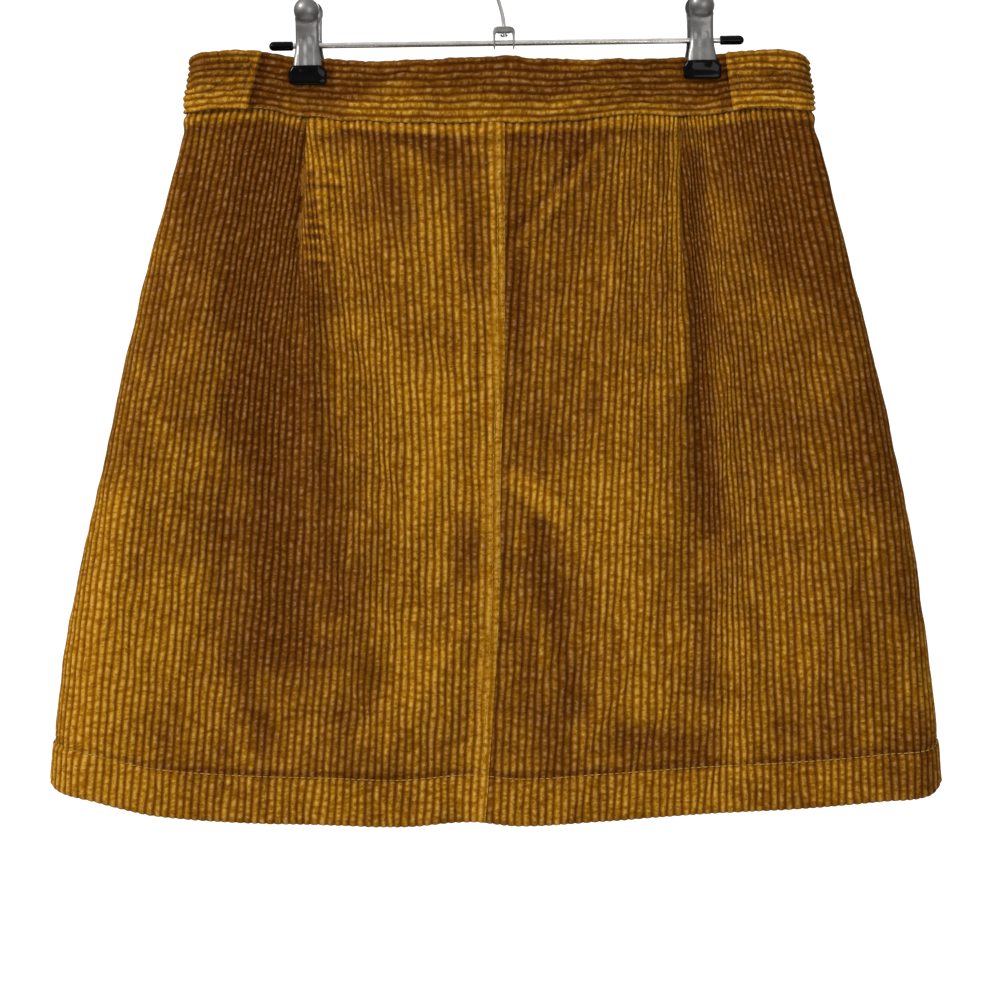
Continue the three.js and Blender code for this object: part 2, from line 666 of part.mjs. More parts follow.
// The soft end of a jaw, which presses on the waistband.
function jawTip(face) {
  const { width, top, low, corner, deep, bevel, inner } = TIP;
  const half = width / 2 - bevel;
  const roof = top - bevel;
  const foot = low + bevel;
  const outline = new THREE.Shape();
  outline.moveTo(-half, roof);
  outline.lineTo(-half, foot + corner);
  outline.absarc(-half + corner, foot + corner, corner, Math.PI, 1.5 * Math.PI);
  outline.absarc(half - corner, foot + corner, corner, 1.5 * Math.PI, 2 * Math.PI);
  outline.lineTo(half, roof);
  const block = new THREE.ExtrudeGeometry(outline, {
    depth: deep - 2 * bevel,
    bevelThickness: bevel,
    bevelSize: bevel,
    bevelSegments: 1,
    curveSegments: 3,
  });
  block.rotateX(Math.PI / 2);
  const near = inner + bevel;
  block.translate(0, face === FRONT ? near + deep - 2 * bevel : -near, 0);
  return block;
}

function spring() {
  const bore = BAR_RADIUS + BORE_PLAY;
  const half = SPRING.length / 2;
  const corners = [[bore, -half], [SPRING.radius, -half], [SPRING.radius, half], [bore, half]];
  const profile = [...corners, corners[0]].map(([r, along]) => new THREE.Vector2(r, along));
  const ring = turnedOut(indexed(new THREE.LatheGeometry(profile, 14)));
  ring.rotateZ(Math.PI / 2);
  return ring;
}

function clip(letter, x) {
  const group = new THREE.Group();
  group.add(piece(`clip_${letter}_jaw_back`, jaw(BACK), "chrome"));
  group.add(piece(`clip_${letter}_jaw_front`, jaw(FRONT), "chrome"));
  group.add(piece(`clip_${letter}_tip_back`, jawTip(BACK), "rubber"));
  group.add(piece(`clip_${letter}_tip_front`, jawTip(FRONT), "rubber"));
  group.add(piece(`clip_${letter}_spring`, spring(), "chrome"));
  group.position.set(x, 0, BAR_Z);
  return group;
}

function hanger() {
  const group = new THREE.Group();
  group.add(bar(), hook(), bracket());
  group.add(barCap("bar_cap_a", CAP.left, 1), barCap("bar_cap_b", CAP.right, -1));
  group.add(clip("a", CLIP_X.left), clip("b", CLIP_X.right));
  group.rotation.y = HANGER_TILT;
  return group;
}

// ---- The whole ----

const root = new THREE.Group();
root.add(...skirtPanels(), ...waistbands(), button(), ...zip(), hanger());

export default root;
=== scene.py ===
# %% [markdown]
# # A wide-wale corduroy skirt on a clip hanger
# This lesson dresses a imported frame model: the frame says where each piece sits, and every piece
# that shows gets its real shape and finish here. The frame loads first.

# %% Load the frame
import math

import bpy
import numpy as np
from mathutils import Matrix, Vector


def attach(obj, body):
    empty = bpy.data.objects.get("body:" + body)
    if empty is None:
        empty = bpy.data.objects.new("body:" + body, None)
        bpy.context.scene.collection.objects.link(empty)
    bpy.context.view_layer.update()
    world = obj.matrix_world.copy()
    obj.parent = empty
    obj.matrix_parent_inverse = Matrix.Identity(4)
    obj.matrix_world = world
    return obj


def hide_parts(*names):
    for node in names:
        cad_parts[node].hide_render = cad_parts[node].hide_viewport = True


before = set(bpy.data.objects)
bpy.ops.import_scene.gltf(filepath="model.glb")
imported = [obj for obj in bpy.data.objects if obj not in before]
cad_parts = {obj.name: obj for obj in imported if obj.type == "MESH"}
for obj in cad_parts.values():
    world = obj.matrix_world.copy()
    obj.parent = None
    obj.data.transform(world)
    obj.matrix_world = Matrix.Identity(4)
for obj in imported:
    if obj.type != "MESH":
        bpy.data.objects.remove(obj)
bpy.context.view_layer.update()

# %% [markdown]
# The camera stands straight in front of the skirt's back, level with its middle. A long lens
# keeps the two edges of a flat object parallel.

# %% Camera
VIEW_MIDDLE = (-0.001, -0.347)
VIEW_FIELD = 0.56
CAMERA_FAR = 2.4
SENSOR = 36

camera_data = bpy.data.cameras.new("camera")
camera_data.sensor_width = SENSOR
camera_data.lens = SENSOR * CAMERA_FAR / VIEW_FIELD
camera = bpy.data.objects.new("camera", camera_data)
camera.location = (VIEW_MIDDLE[0], -CAMERA_FAR, VIEW_MIDDLE[1])
camera.rotation_euler = (math.radians(90), 0, 0)
bpy.context.scene.collection.objects.link(camera)
bpy.context.scene.camera = camera
print("lens", round(camera_data.lens), "mm")

# %% [markdown]
# The skirt's measures are in millimetres and in the frame's own terms: a place on the cloth is
# its face (back or front), its distance q across from the middle, and its depth below the waist.
# Each table is read through a smooth curve that stays level where the values turn back.

# %% Curves through tables
BACK, FRONT = -1, 1
MM = 0.001


def curve(keys, values):
    k, v = np.array(keys, float), np.array(values, float)
    slope = np.empty_like(v)
    slope[1:-1] = (v[2:] - v[:-2]) / (k[2:] - k[:-2])
    slope[1:-1][(v[1:-1] - v[:-2]) * (v[2:] - v[1:-1]) <= 0] = 0
    slope[0] = (v[1] - v[0]) / (k[1] - k[0])
    slope[-1] = (v[-1] - v[-2]) / (k[-1] - k[-2])

    def at(x):
        x = np.clip(x, k[0], k[-1])
        i = np.clip(np.searchsorted(k, x, side="right") - 1, 0, len(k) - 2)
        span = k[i + 1] - k[i]
        t = (x - k[i]) / span
        start = (1 + 2 * t) * (1 - t) ** 2 * v[i] + t * (1 - t) ** 2 * span * slope[i]
        end = t * t * (3 - 2 * t) * v[i + 1] + t * t * (t - 1) * span * slope[i + 1]
        return start + end

    return at


def ramp(x, low, high):
    t = np.clip((np.asarray(x, float) - low) / (high - low), 0, 1)
    return t * t * (3 - 2 * t)


def mix(a, b, t):
    return a + (b - a) * t


def hump(x, middle, width):
    """1 at the middle, fading away on both sides of it."""
    return np.exp(-(((x - middle) / width) ** 2))


def rounding(t, least=0.0):
    """From 1 at t = 0 down to 0 at t = 1 along a quarter circle."""
    return 1 - np.sqrt(np.clip(1 - (1 - np.clip(t, 0, 1)) ** 2, least, 1))


def full_turn(count):
    return np.linspace(0, 2 * math.pi, count, endpoint=False)


def lengths_along(points):
    """The distance travelled at each point of a line."""
    return np.concatenate([[0], np.cumsum(np.linalg.norm(np.diff(points, axis=0), axis=1))])


print("a ramp from 0 to 10 is at", float(ramp(2.5, 0, 10)), "after a quarter of the way")

# %% The skirt's outline, depth and edges
WAIST_Z = -100
OUTLINE_AT = [-6, 10, 23, 38, 51, 79, 107, 163, 219, 275, 331, 387, 432]
LEFT_EDGE = curve(
    OUTLINE_AT,
    [173.5, 175.3, 177.3, 177.6, 180, 187.5, 195.4, 209, 220.8, 233.2, 244.5, 250.6, 253.6],
)
RIGHT_EDGE = curve(
    OUTLINE_AT,
    [170.5, 172.5, 174.2, 175.2, 178.6, 185.9, 192.6, 206.6, 219.4, 230.2, 238.2, 244.4, 246.6],
)
FREE_AT = [0, 36, 90, 180, 300, 432]
FREE_HALF = curve(FREE_AT, [7, 7.4, 11.5, 16, 19, 21.5])
FREE_ROUND = curve(FREE_AT, [7, 7.5, 13, 19, 23, 26])
PRESSED_HALF = curve(
    [-172, -140, -119, -98, -60, 0, 60, 101, 123, 145, 170],
    [6.2, 5.2, 2.5, 2.5, 6.4, 7.6, 6.6, 2.5, 2.5, 5, 6],
)
BAND_AT = [-177, -168, -140, -108, -57, 0, 40, 74, 106, 133, 160, 174]
BAND_TOP = curve(BAND_AT, [-2.6, -4, -4.2, -0.8, 1.2, -1.2, 0.6, -0.2, -1.4, -4.4, -4.6, -2.4])
BAND_CORNER = {-1: (8, 4.5), 1: (9, 5)}
BAND_LOW = curve(
    BAND_AT, [31.6, 30.2, 29, 33.2, 36.4, 36.6, 35.4, 31.6, 32.4, 29.2, 28.8, 29.6]
)
HEM_LOW = curve(
    [-253, -247, -236, -214, -191, -150, -91, -57, -18, 10, 55, 111, 167, 212, 234, 247],
    [402, 407.4, 411.6, 417.9, 422.7, 426, 428.4, 430, 427.6, 430, 426.8, 421.8, 418.4, 414.4,
     411.6, 402],
)
SEAM_X = {
    BACK: curve([30, 150, 240, 300, 404, 432], [1.7, 1.9, -0.6, -1, -7.3, -9.6]),
    FRONT: curve([30, 432], [0, 3]),
}
DART_X = {
    (BACK, -1): curve([30, 120, 190, 240, 432], [-109, -114, -108.5, -107.5, -116]),
    (BACK, 1): curve([30, 120, 190, 240, 432], [100, 102, 105.3, 106.2, 112]),
    (FRONT, -1): curve([30, 130, 432], [-98, -103, -116]),
    (FRONT, 1): curve([30, 130, 432], [98, 102, 114]),
}
DART_TIP = {BACK: 122, FRONT: 100}


def half_width(q, below):
    return np.where(np.asarray(q) < 0, LEFT_EDGE(below), RIGHT_EDGE(below))


waist, hem = [float(half_width(-1, below) + half_width(1, below)) for below in (0, 420)]
print("waist", round(waist), "mm, hem", round(hem), "mm across")

# %% [markdown]
# Hanging cloth isn't flat. The large folds are soft ridges and troughs along lines. They give the
# light something to run over, so each is given one by one: face, one end, the other end, width, rise.
# Creases are the same thing at a smaller size, and only the cloth has them.

# %% Folds and creases
FOLDS = [
    (BACK, -111, 126, -106, 235, 13, 2.2), (BACK, -128, 60, -124, 230, 14, -2.4),
    (BACK, 96, 60, 99, 250, 13, 2.2), (BACK, 112, 50, 114, 270, 11, -3),
    (BACK, -205, 190, -222, 380, 18, 2.6), (BACK, -60, 100, -66, 300, 26, 2.4),
    (BACK, 14, 50, 12, 190, 12, -2.2), (BACK, 60, 210, 92, 360, 26, 2.6),
    (BACK, -21, 324, -66, 390, 16, 1.8), (BACK, 170, 200, 190, 400, 22, 2.2),
    (FRONT, -100, 110, -108, 300, 18, 2.6), (FRONT, 100, 110, 110, 290, 18, 2.4),
    (FRONT, -50, 170, -62, 390, 24, -2), (FRONT, 44, 200, 58, 400, 26, -2.2),
    (FRONT, -185, 210, -206, 400, 24, 2.4), (FRONT, 182, 180, 200, 390, 24, 2.2),
]
PUCKERS = [  # depth below the waist, and how far across each one reaches
    (59, -90), (63.5, -93), (68, -88), (76, -99), (81, -98),
    (86, -100), (91.5, -97), (97, -99), (104, -98), (112, -97),
]
CREASES = [
    # the soft fold under the left dart, and the small puckers its stitching pulls
    (BACK, -109, 132, -107, 226, 5, 1.2), (BACK, -115, 60, -112, 215, 4.5, -1.4),
    *[(BACK, -109, b - 1, x, b + 1.5, 1.7, 1.0) for b, x in PUCKERS],
    (BACK, -90, 40.5, -30, 46, 2.2, -1.2),
    # the right dart's shaded side
    (BACK, 108, 50, 109, 230, 5, -1.3), (BACK, 100, 70, 102, 240, 5, 0.8),
    # drags from the band towards the middle, and the sweep of wales beside the seam
    (BACK, 51, 47, 6, 99, 3.2, -1.1), (BACK, 56, 52, 12, 105, 3.2, 1.0),
    (BACK, -18, 168, -30, 222, 6, 0.9), (BACK, -30, 222, -50, 270, 7, 1),
    (BACK, -24, 240, -46, 290, 6, -0.9), (BACK, -21, 324, -66, 390, 7, 0.8),
    (BACK, -38, 280, -77, 372, 6, -0.9), (BACK, 8, 236, 38, 256, 4, 1.1),
    (BACK, -14, 96, -13, 128, 5, -1.1), (BACK, -15, 150, -14, 186, 5, 0.8),
    (BACK, 10, 215, 7, 300, 5, -1.4), (BACK, -160, 120, -185, 240, 16, 1.2),
    (BACK, -150, 250, -160, 380, 14, -1.2), (BACK, 140, 120, 150, 300, 14, -1.2),
    (BACK, 40, 90, 46, 200, 12, -1), (BACK, 205, 250, 222, 400, 9, -1.1),
    (BACK, -168, 110, -188, 330, 19, 1.3), (BACK, -122, 190, -118, 330, 15, -1.6),
    (BACK, -92, 240, -86, 390, 16, 1.2), (BACK, 132, 260, 140, 400, 15, 1.0),
    (BACK, 22, 264, 42, 360, 8, -1.0), (BACK, 70, 379, 112, 386, 8, -0.8),
    (BACK, -147, 337, -131, 383, 7, -1.0), (BACK, -214, 250, -230, 400, 8, 0.8),
    (BACK, -150, 60, -170, 180, 7, 0.7), (BACK, 150, 60, 176, 190, 8, -0.8),
    (FRONT, -104, 60, -90, 62, 4, 0.8), (FRONT, 104, 66, 90, 69, 4, 0.8),
    (FRONT, -20, 90, -28, 200, 8, 0.9), (FRONT, 22, 120, 30, 240, 9, -0.9),
    (FRONT, -140, 150, -165, 330, 12, -1.1), (FRONT, 140, 140, 160, 320, 12, 1),
]
print("folds:", len(FOLDS), "creases:", len(CREASES))

# %% [markdown]
# The skin is the smooth surface that the cloth follows: flat over the face, pressed thin by the
# clips at the top, and bent round at the two side folds. Everything sewn is placed from it, along
# its own normal, so the panels, the waistband and the stitches stay together.

# %% The skin
CREASE_SIZE = 1.5
FOLDS_RISE = (34, 70)
DART_SIDE, DART_TROUGH = 6, 1.2
DART_FADES = 0.75
PINCH = (34, 150)
NORMAL_STEP = 0.4


def along_lines(table, face, x, below):
    """The sum of soft ridges, each one full on its own line and fading away from it."""
    total = np.zeros(np.broadcast(x, below).shape)
    for on, x1, b1, x2, b2, wide, high in table:
        if on != face:
            continue
        dx, db = x2 - x1, b2 - b1
        t = np.clip(((x - x1) * dx + (below - b1) * db) / (dx * dx + db * db), 0, 1)
        total += high * np.exp(-((x - x1 - t * dx) ** 2 + (below - b1 - t * db) ** 2) / wide ** 2)
    return total


def fold_rise(face, x, below):
    rise = along_lines(FOLDS, face, x, below) + CREASE_SIZE * along_lines(CREASES, face, x, below)
    dart = np.where(x < 0, DART_X[face, -1](below), DART_X[face, 1](below))
    near = np.maximum(0, 1 - np.abs(x - dart) / DART_SIDE)
    sewn = 1 - ramp(below, DART_FADES * DART_TIP[face], DART_TIP[face])
    return (rise - DART_TROUGH * near * sewn) * ramp(below, *FOLDS_RISE)


def half_depth(x, below):
    return mix(PRESSED_HALF(x), FREE_HALF(below), ramp(below, *PINCH))


def skin(face, q, below, inset=0.0):
    """Points of the skirt's skin: q runs flat over the face and then round the side fold."""
    q, below = np.broadcast_arrays(np.asarray(q, float), np.asarray(below, float))
    width, turn_size = half_width(q, below) - inset, FREE_ROUND(below)
    past = np.maximum(np.abs(q) - (width - turn_size), 0)
    turn = past / turn_size * math.pi / 2
    x = np.where(past > 0, np.sign(q) * (width - turn_size + turn_size * np.sin(turn)), q)
    share = np.cos(turn)
    out = half_depth(x, below) * share + fold_rise(face, x, below) * np.maximum(share, 0) ** 2
    return np.stack([x, face * out, WAIST_Z - below], -1)


def lifted(face, q, below, lift, inset=0.0):
    """The skin's points moved out along the skin's own normal."""
    across = skin(face, q + NORMAL_STEP, below, inset) - skin(face, q - NORMAL_STEP, below, inset)
    up = skin(face, q, below - NORMAL_STEP, inset) - skin(face, q, below + NORMAL_STEP, inset)
    normal = -face * np.cross(across, up)
    normal /= np.linalg.norm(normal, axis=-1, keepdims=True)
    return skin(face, q, below, inset) + normal * np.asarray(lift)[..., None]


print("the back's skin, 200 mm below the waist:", skin(BACK, 0, 200).round(1))

# %% [markdown]
# Shader nodes are easier to follow as sums than as a long list of links. One small class wraps a
# socket: adding or multiplying two of them adds the Math node and hands back its output. Colours
# and vectors go through Mix and Vector Math, because a Math node would turn a colour grey.

# %% Shader maths as Python
class Wire:
    """One output socket of a material, on which arithmetic adds Math nodes."""

    def __init__(self, finish, socket):
        self.finish, self.socket = finish, socket

    def maths(self, operation, *others):
        return self.finish.node("ShaderNodeMath", {"operation": operation}, [self, *others])

    def __add__(self, other):
        return self.maths("ADD", other)

    def __mul__(self, other):
        return self.maths("MULTIPLY", other)

    def __sub__(self, other):
        return self.maths("SUBTRACT", other)

    def __rsub__(self, other):
        return self.finish.node("ShaderNodeMath", {"operation": "SUBTRACT"}, [other, self])

    def __pow__(self, other):
        return self.maths("POWER", other)

    __radd__, __rmul__ = __add__, __mul__

    def between(self, low, high):
        """0 below low, 1 above high, and a soft step in between."""
        return self.finish.node(
            "ShaderNodeMapRange", {"interpolation_type": "SMOOTHSTEP"}, [self, low, high, 0.0, 1.0]
        )


print("a Wire takes + - * ** and between()")

# %% A finish under construction
class Finish:
    """A material under construction, or a world: node() adds its nodes, and ended() adds its output."""

    def __init__(self, name, made_in=bpy.data.materials):
        self.material = made_in.new(name)
        self.material.use_nodes = True
        self.tree = self.material.node_tree
        self.tree.nodes.clear()

    def node(self, kind, settings=None, values=(), out=0):
        made = self.tree.nodes.new(kind)
        for name, value in (settings or {}).items():
            setattr(made, name, value)
        pairs = values.items() if isinstance(values, dict) else enumerate(values)
        for name, value in pairs:
            if isinstance(value, Wire):
                self.tree.links.new(value.socket, made.inputs[name])
            elif value is not None:
                made.inputs[name].default_value = value
        return Wire(self, made.outputs[out])

    def measure(self, name):
        return self.node("ShaderNodeAttribute", {"attribute_name": name}, out="Fac")

    def place(self):
        return self.node("ShaderNodeTexCoord", out="Object")

    def vector(self, x, y, z):
        return self.node("ShaderNodeCombineXYZ", values=[x, y, z])

    def scaled(self, vector, scale):
        return self.node("ShaderNodeVectorMath", {"operation": "MULTIPLY"}, [vector, scale])

    def noise(self, vector, scale, detail=2.0, rough=0.5):
        values = {"Vector": vector, "Scale": scale, "Detail": detail, "Roughness": rough}
        return self.node("ShaderNodeTexNoise", values=values, out="Fac")

    def blend(self, a, b, factor, how="MIX"):
        """A colour between a and b; sockets 6 and 7 are the Mix node's colour pair."""
        settings = {"data_type": "RGBA", "blend_type": how}
        return self.node("ShaderNodeMix", settings, {0: factor, 6: a, 7: b}, out=2)

    def bump(self, height, strength, distance):
        values = {"Height": height, "Strength": strength, "Distance": distance}
        return self.node("ShaderNodeBump", values=values)

    def surface(self, **sockets):
        values = {name.replace("_", " "): value for name, value in sockets.items()}
        return self.ended(self.node("ShaderNodeBsdfPrincipled", values=values))

    def ended(self, shader, kind="ShaderNodeOutputMaterial"):
        end = self.tree.nodes.new(kind)
        self.tree.links.new(shader.socket, end.inputs["Surface"])
        return self.material


print("a finish is made with Finish(name), node() and surface()")

# %% [markdown]
# Corduroy is a pile cloth: rows of cut velvet, the wales, stand on a plain ground. A crown is
# bright because its fibre tips face the light, and the ground between is dark, which the finish
# paints as shade in the valleys. Wear crushes the pile in short patches that shine; that shine is a
# painted sheen, and the breaks between the beads along a wale get painted shade. The wales are real
# relief in the mesh, so the finish only has to follow them: each point of the cloth carries its
# height on the wale (crown), the wale's number (wale), its distance along it (down) and how the pile
# lies there together with the painted light and shade of folds, darts and seams (nap_and_shading).

# %% Corduroy finish
GOLD = (0.465, 0.208, 0.004, 1)
RUST = (0.16, 0.052, 0.003, 1)
# painted sheen: pale colours for the shine of the crushed patches
CRUSHED_SHEEN = (0.66, 0.40, 0.09, 1)
PALE_RUST_SHEEN = (0.46, 0.245, 0.105, 1)
# painted shade: SHADED darkens the valleys between the crowns
SHADED = (0.50, 0.355, 0.06, 1)
# painted shade for the low breaks between beads
GAP_SHADE = (0.64, 0.50, 0.35, 1)
GROUND = (0.24, 0.105, 0.012, 1)
DARK_GROUND = (0.12, 0.045, 0.004, 1)


def corduroy_finish():
    f = Finish("corduroy")
    crown, wale, down = f.measure("crown"), f.measure("wale"), f.measure("down")
    nap_and_shading, inside = f.measure("nap_and_shading"), f.measure("inside")
    row = f.node("ShaderNodeMath", {"operation": "FLOOR"}, [wale])
    bead = f.noise(f.vector(row * 2.7 + wale, down * 0.42, 0.0), 1.0, 2.5, 0.6)
    linked = f.noise(f.vector(wale * 0.45, down * 0.30, 5.0), 1.0, 2.0, 0.5)
    strand = f.noise(f.vector(row * 2.3, down * 0.02, 3.0), 1.0, 2.0, 0.5)
    patch = f.noise(f.place(), 26.0, 4.0, 0.62)
    small_patch = f.noise(f.place(), 85.0, 3.0, 0.6)
    fuzz = f.noise(f.place(), 2600.0, 2.0, 0.7)
    tuft = f.noise(f.place(), 900.0, 2.0, 0.6)
    # the pile's lie, together with the painted light and shade of folds, darts and seams
    lie_and_shading = (nap_and_shading + (patch - 0.5) * 0.6 + (small_patch - 0.5) * 0.35 + (strand - 0.5) * 0.5).between(0.08, 0.98)
    pile = f.blend(RUST, GOLD, lie_and_shading)
    # painted shade in the low breaks between the beads along each wale, where the bump is low too
    gap = (bead * 0.7 + linked * 0.3 + (tuft - 0.5) * 0.2).between(0.34, 0.55)
    pile = f.blend(f.blend(pile, GAP_SHADE, 1.0, "MULTIPLY"), pile, gap)
    # painted sheen on the crowns in short crushed patches
    crush_sheen = (bead * 0.8 + linked * 0.2 + (tuft - 0.5) * 0.25 + lie_and_shading * 0.05).between(0.46, 0.70)
    crushed_sheen = f.blend(PALE_RUST_SHEEN, CRUSHED_SHEEN, lie_and_shading.between(0.1, 0.7))
    pile = f.blend(pile, crushed_sheen, crush_sheen * crown.between(0.5, 1.0) * (0.6 + 0.15 * lie_and_shading))
    # painted shade: the valleys are multiplied by SHADED, and the crowns stay lit
    top = (crown ** 1.5).between(0.0, 0.86)
    colour = f.blend(f.blend(pile, SHADED, 1.0, "MULTIPLY"), pile, top)
    shade = 0.94 + (fuzz - 0.5) * 0.5
    colour = f.blend(colour, f.node("ShaderNodeCombineColor", values=[shade, shade, shade]), 1.0, "MULTIPLY")
    weave = f.noise(f.scaled(f.place(), (1400.0, 1400.0, 500.0)), 1.0, 1.0, 0.5)
    ground = f.blend(GROUND, DARK_GROUND, weave.between(0.35, 0.65) * 0.7)
    colour = f.blend(colour, ground, inside)
    height = gap * 0.5 + crush_sheen * crown * 0.4 + small_patch * 0.8 + tuft * 0.35 + fuzz * 0.2
    return f.surface(
        Base_Color=colour, Roughness=0.95, Normal=f.bump(height, 0.75, 0.0007), Sheen_Weight=0.12,
        Sheen_Roughness=0.5, Sheen_Tint=(1.0, 0.62, 0.12, 1), Specular_IOR_Level=0.04,
    )


CORDUROY = corduroy_finish()
print("corduroy nodes:", len(CORDUROY.node_tree.nodes))

# %% [markdown]
# Every mesh here is a set of millimetre points and faces. put() makes the object, gives it its
# finish, ties it to the frame's one body and hides the frame's solids that it stands for.

# %% Put a piece in the scene
def turned_out(points, faces):
    """The faces with their winding flipped if the closed mesh is inside out."""
    p = np.asarray(points)
    volume = 0.0
    for corners in (faces if isinstance(faces, list) else [faces]):
        a = p[corners[:, 0]]
        for k in range(1, corners.shape[1] - 1):
            volume += np.einsum("ij,ij", a, np.cross(p[corners[:, k]], p[corners[:, k + 1]]))
    return [c[:, ::-1] if volume < 0 else c for c in faces]


def put(name, points, faces, finish, stands_for=(), measures=None):
    """faces is a list of arrays, such as one of quads and one of triangles."""
    points = np.asarray(points, float)
    faces = [c for c in turned_out(points, [np.asarray(c, int) for c in faces]) if len(c)]
    mesh = bpy.data.meshes.new(name)
    mesh.vertices.add(len(points))
    mesh.vertices.foreach_set("co", (points * MM).ravel())
    sizes = np.concatenate([np.full(len(c), c.shape[1]) for c in faces])
    mesh.loops.add(int(sizes.sum()))
    mesh.loops.foreach_set("vertex_index", np.concatenate([c.ravel() for c in faces]))
    mesh.polygons.add(len(sizes))
    mesh.polygons.foreach_set("loop_start", np.concatenate([[0], np.cumsum(sizes)[:-1]]))
    mesh.update(calc_edges=True)
    for key, values in (measures or {}).items():
        mesh.attributes.new(key, "FLOAT", "POINT").data.foreach_set("value", np.asarray(values, np.float32))
    mesh.shade_smooth()
    mesh.materials.append(finish)
    made = bpy.data.objects.new(name, mesh)
    bpy.context.scene.collection.objects.link(made)
    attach(made, "root")
    if stands_for:
        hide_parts(*stands_for)
    return made


print("solids in the frame:", len(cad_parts))

# %% [markdown]
# Wales keep their direction from the hem up, because a panel is cut from flat cloth, and the side
# seam, the centre seam and the dart cut across them. So each wale is followed upwards from the hem
# with a lean read from a small table, and it stops where it runs into a seam. Six lines of points
# along each wale give its round crown and its narrow valley.

# %% Lean of the wales
LEAN_BELOW = np.array([45, 135, 202, 281, 337, 404.0])
LEAN = {  # distance from the middle, then one column of leans per place; inner, then outer
    (BACK, -1): (
        [5, 60, 105], [[-.03, -.03, -.01, .01, .03, .05], [-.06, -.06, -.03, .02, .04, .05],
                       [-.10, -.09, 0, .06, .09, .08]],
        [115, 160, 220], [[.17, .13, .04, .06, .09, .08], [.19, .17, .12, .09, .09, .08],
                          [.20, .19, .16, .11, .09, .08]],
    ),
    (BACK, 1): (
        [5, 60, 96], [[-.05, -.06, -.06, -.05, -.05, -.04], [-.05, -.05, -.05, -.04, -.04, -.04],
                      [-.02, -.01, -.01, -.02, -.03, -.04]],
        [106, 140, 175], [[.12, .11, .05, 0, -.03, -.04], [.15, .13, .09, .06, .03, .03],
                          [.20, .19, .14, .08, .04, .03]],
    ),
    (FRONT, -1): (
        [5, 60, 100], [[0, 0, 0, 0, 0, 0], [-.02, -.02, 0, .02, .03, .03],
                       [-.05, -.04, 0, .03, .05, .05]],
        [110, 150, 210], [[.12, .10, .05, .05, .05, .05], [.17, .15, .10, .08, .07, .06],
                          [.19, .18, .15, .11, .08, .07]],
    ),
    (FRONT, 1): (
        [5, 60, 100], [[.01, .01, .01, .01, .01, .01], [-.01, -.01, .01, .02, .03, .03],
                       [-.04, -.03, .01, .03, .04, .04]],
        [110, 150, 210], [[.12, .10, .05, .05, .05, .05], [.17, .15, .10, .07, .06, .05],
                          [.19, .18, .15, .10, .07, .06]],
    ),
}
print("leans are given for", len(LEAN), "half panels at", len(LEAN_BELOW), "depths")

# %% Follow the wales
LAST_BELOW = 432
PITCH = 4.2
PAST_MIDDLE = 14
WIDEST_HALF = 300
WAVES, WAVE_SIZE = 7, 0.13
PHASES = np.array([0, 0.11, 0.28, 0.5, 0.72, 0.89])  # where a wale's six columns lie across it
RELIEF = 1.05


def crown_at(phase):
    """Height of a wale's section, 0 in the valley and 1 over its round crown."""
    return 1 - np.abs(2 * (phase % 1) - 1) ** 1.75


def lean_at(face, side, u, below, above_tip, inner):
    inner_u, inner_rows, outer_u, outer_rows = LEAN[face, side]
    row_in = [np.interp(below, LEAN_BELOW, r) for r in inner_rows]
    row_out = [np.interp(below, LEAN_BELOW, r) for r in outer_rows]
    if above_tip:
        return np.where(inner, np.interp(u, inner_u, row_in), np.interp(u, outer_u, row_out))
    spread = [*inner_u[:2], inner_u[2] - 8, outer_u[0] + 8, *outer_u[1:]]
    return np.interp(u, spread, row_in + row_out)


def fold_arc(side, below):
    """Where the flat part ends, the length round the side fold, and the fold's share of q."""
    size = FREE_ROUND(below)
    flat = half_width(side, below) - size
    deep = half_depth(side * (flat + size / 2), below)
    return flat, math.pi / 2 * np.sqrt((size ** 2 + deep ** 2) / 2), size


def wale_paths(face, side):
    """For each column, its distance u from the middle at every millimetre below the waist."""
    belows = np.arange(0, LAST_BELOW + 1.0)
    numbers = np.arange(-PAST_MIDDLE, int(WIDEST_HALF / PITCH))
    wales = (numbers[:, None] + PHASES).ravel()
    paths = np.empty((len(belows), len(wales)))
    paths[-1] = side * SEAM_X[face](LAST_BELOW) + wales * PITCH
    tip = float(DART_TIP[face])
    inner = None
    for row in range(len(belows) - 2, -1, -1):
        below = belows[row]
        if inner is None and below <= tip:
            inner = paths[row + 1] < side * DART_X[face, side](tip)
        above = inner is not None
        lean = lean_at(face, side, paths[row + 1], below, above, inner if above else True)
        paths[row] = paths[row + 1] - lean
    wobble = np.random.default_rng(7 + face + 5 * side)
    for _ in range(WAVES):
        along, across, phase = wobble.uniform(25, 90), wobble.uniform(9, 60), wobble.uniform(0, 6.3)
        turns = belows[:, None] / along + wales * PITCH / across
        paths += WAVE_SIZE * np.sin(2 * math.pi * turns + phase)
    return belows, wales, paths, int(np.argmax(~inner))


print("wales in a half panel:", len(wale_paths(BACK, -1)[1]) // len(PHASES))

# %% [markdown]
# A closed mesh of a sheet is a loop of rows: down the outside, round the hem's fold, up the
# inside and over the top edge. Where a wale runs into a seam its points are pinched together, so
# the grid's corners repeat there and make triangles. The two upright ends are closed by a strip
# of triangles between the dense outside and the sparse inside.

# %% Faces of a looped grid
def loop_faces(ids, low_path, turn_row):
    ring = np.vstack([ids, ids[:1]])
    a, b, c, d = ring[:-1, :-1], ring[:-1, 1:], ring[1:, 1:], ring[1:, :-1]
    quads = np.stack([a, b, c, d], -1).reshape(-1, 4)
    pinched_up, pinched_low = quads[:, 0] == quads[:, 1], quads[:, 2] == quads[:, 3]
    whole = ~(pinched_up | pinched_low)
    tris = [quads[pinched_up & ~pinched_low][:, [0, 2, 3]], quads[pinched_low & ~pinched_up][:, :3]]
    for column, flip in ((0, False), (ids.shape[1] - 1, True)):
        ends = zipped(ids[:, column], low_path[:, column], turn_row)
        tris.append(ends[:, ::-1] if flip else ends)
    return [quads[whole], np.vstack(tris)]


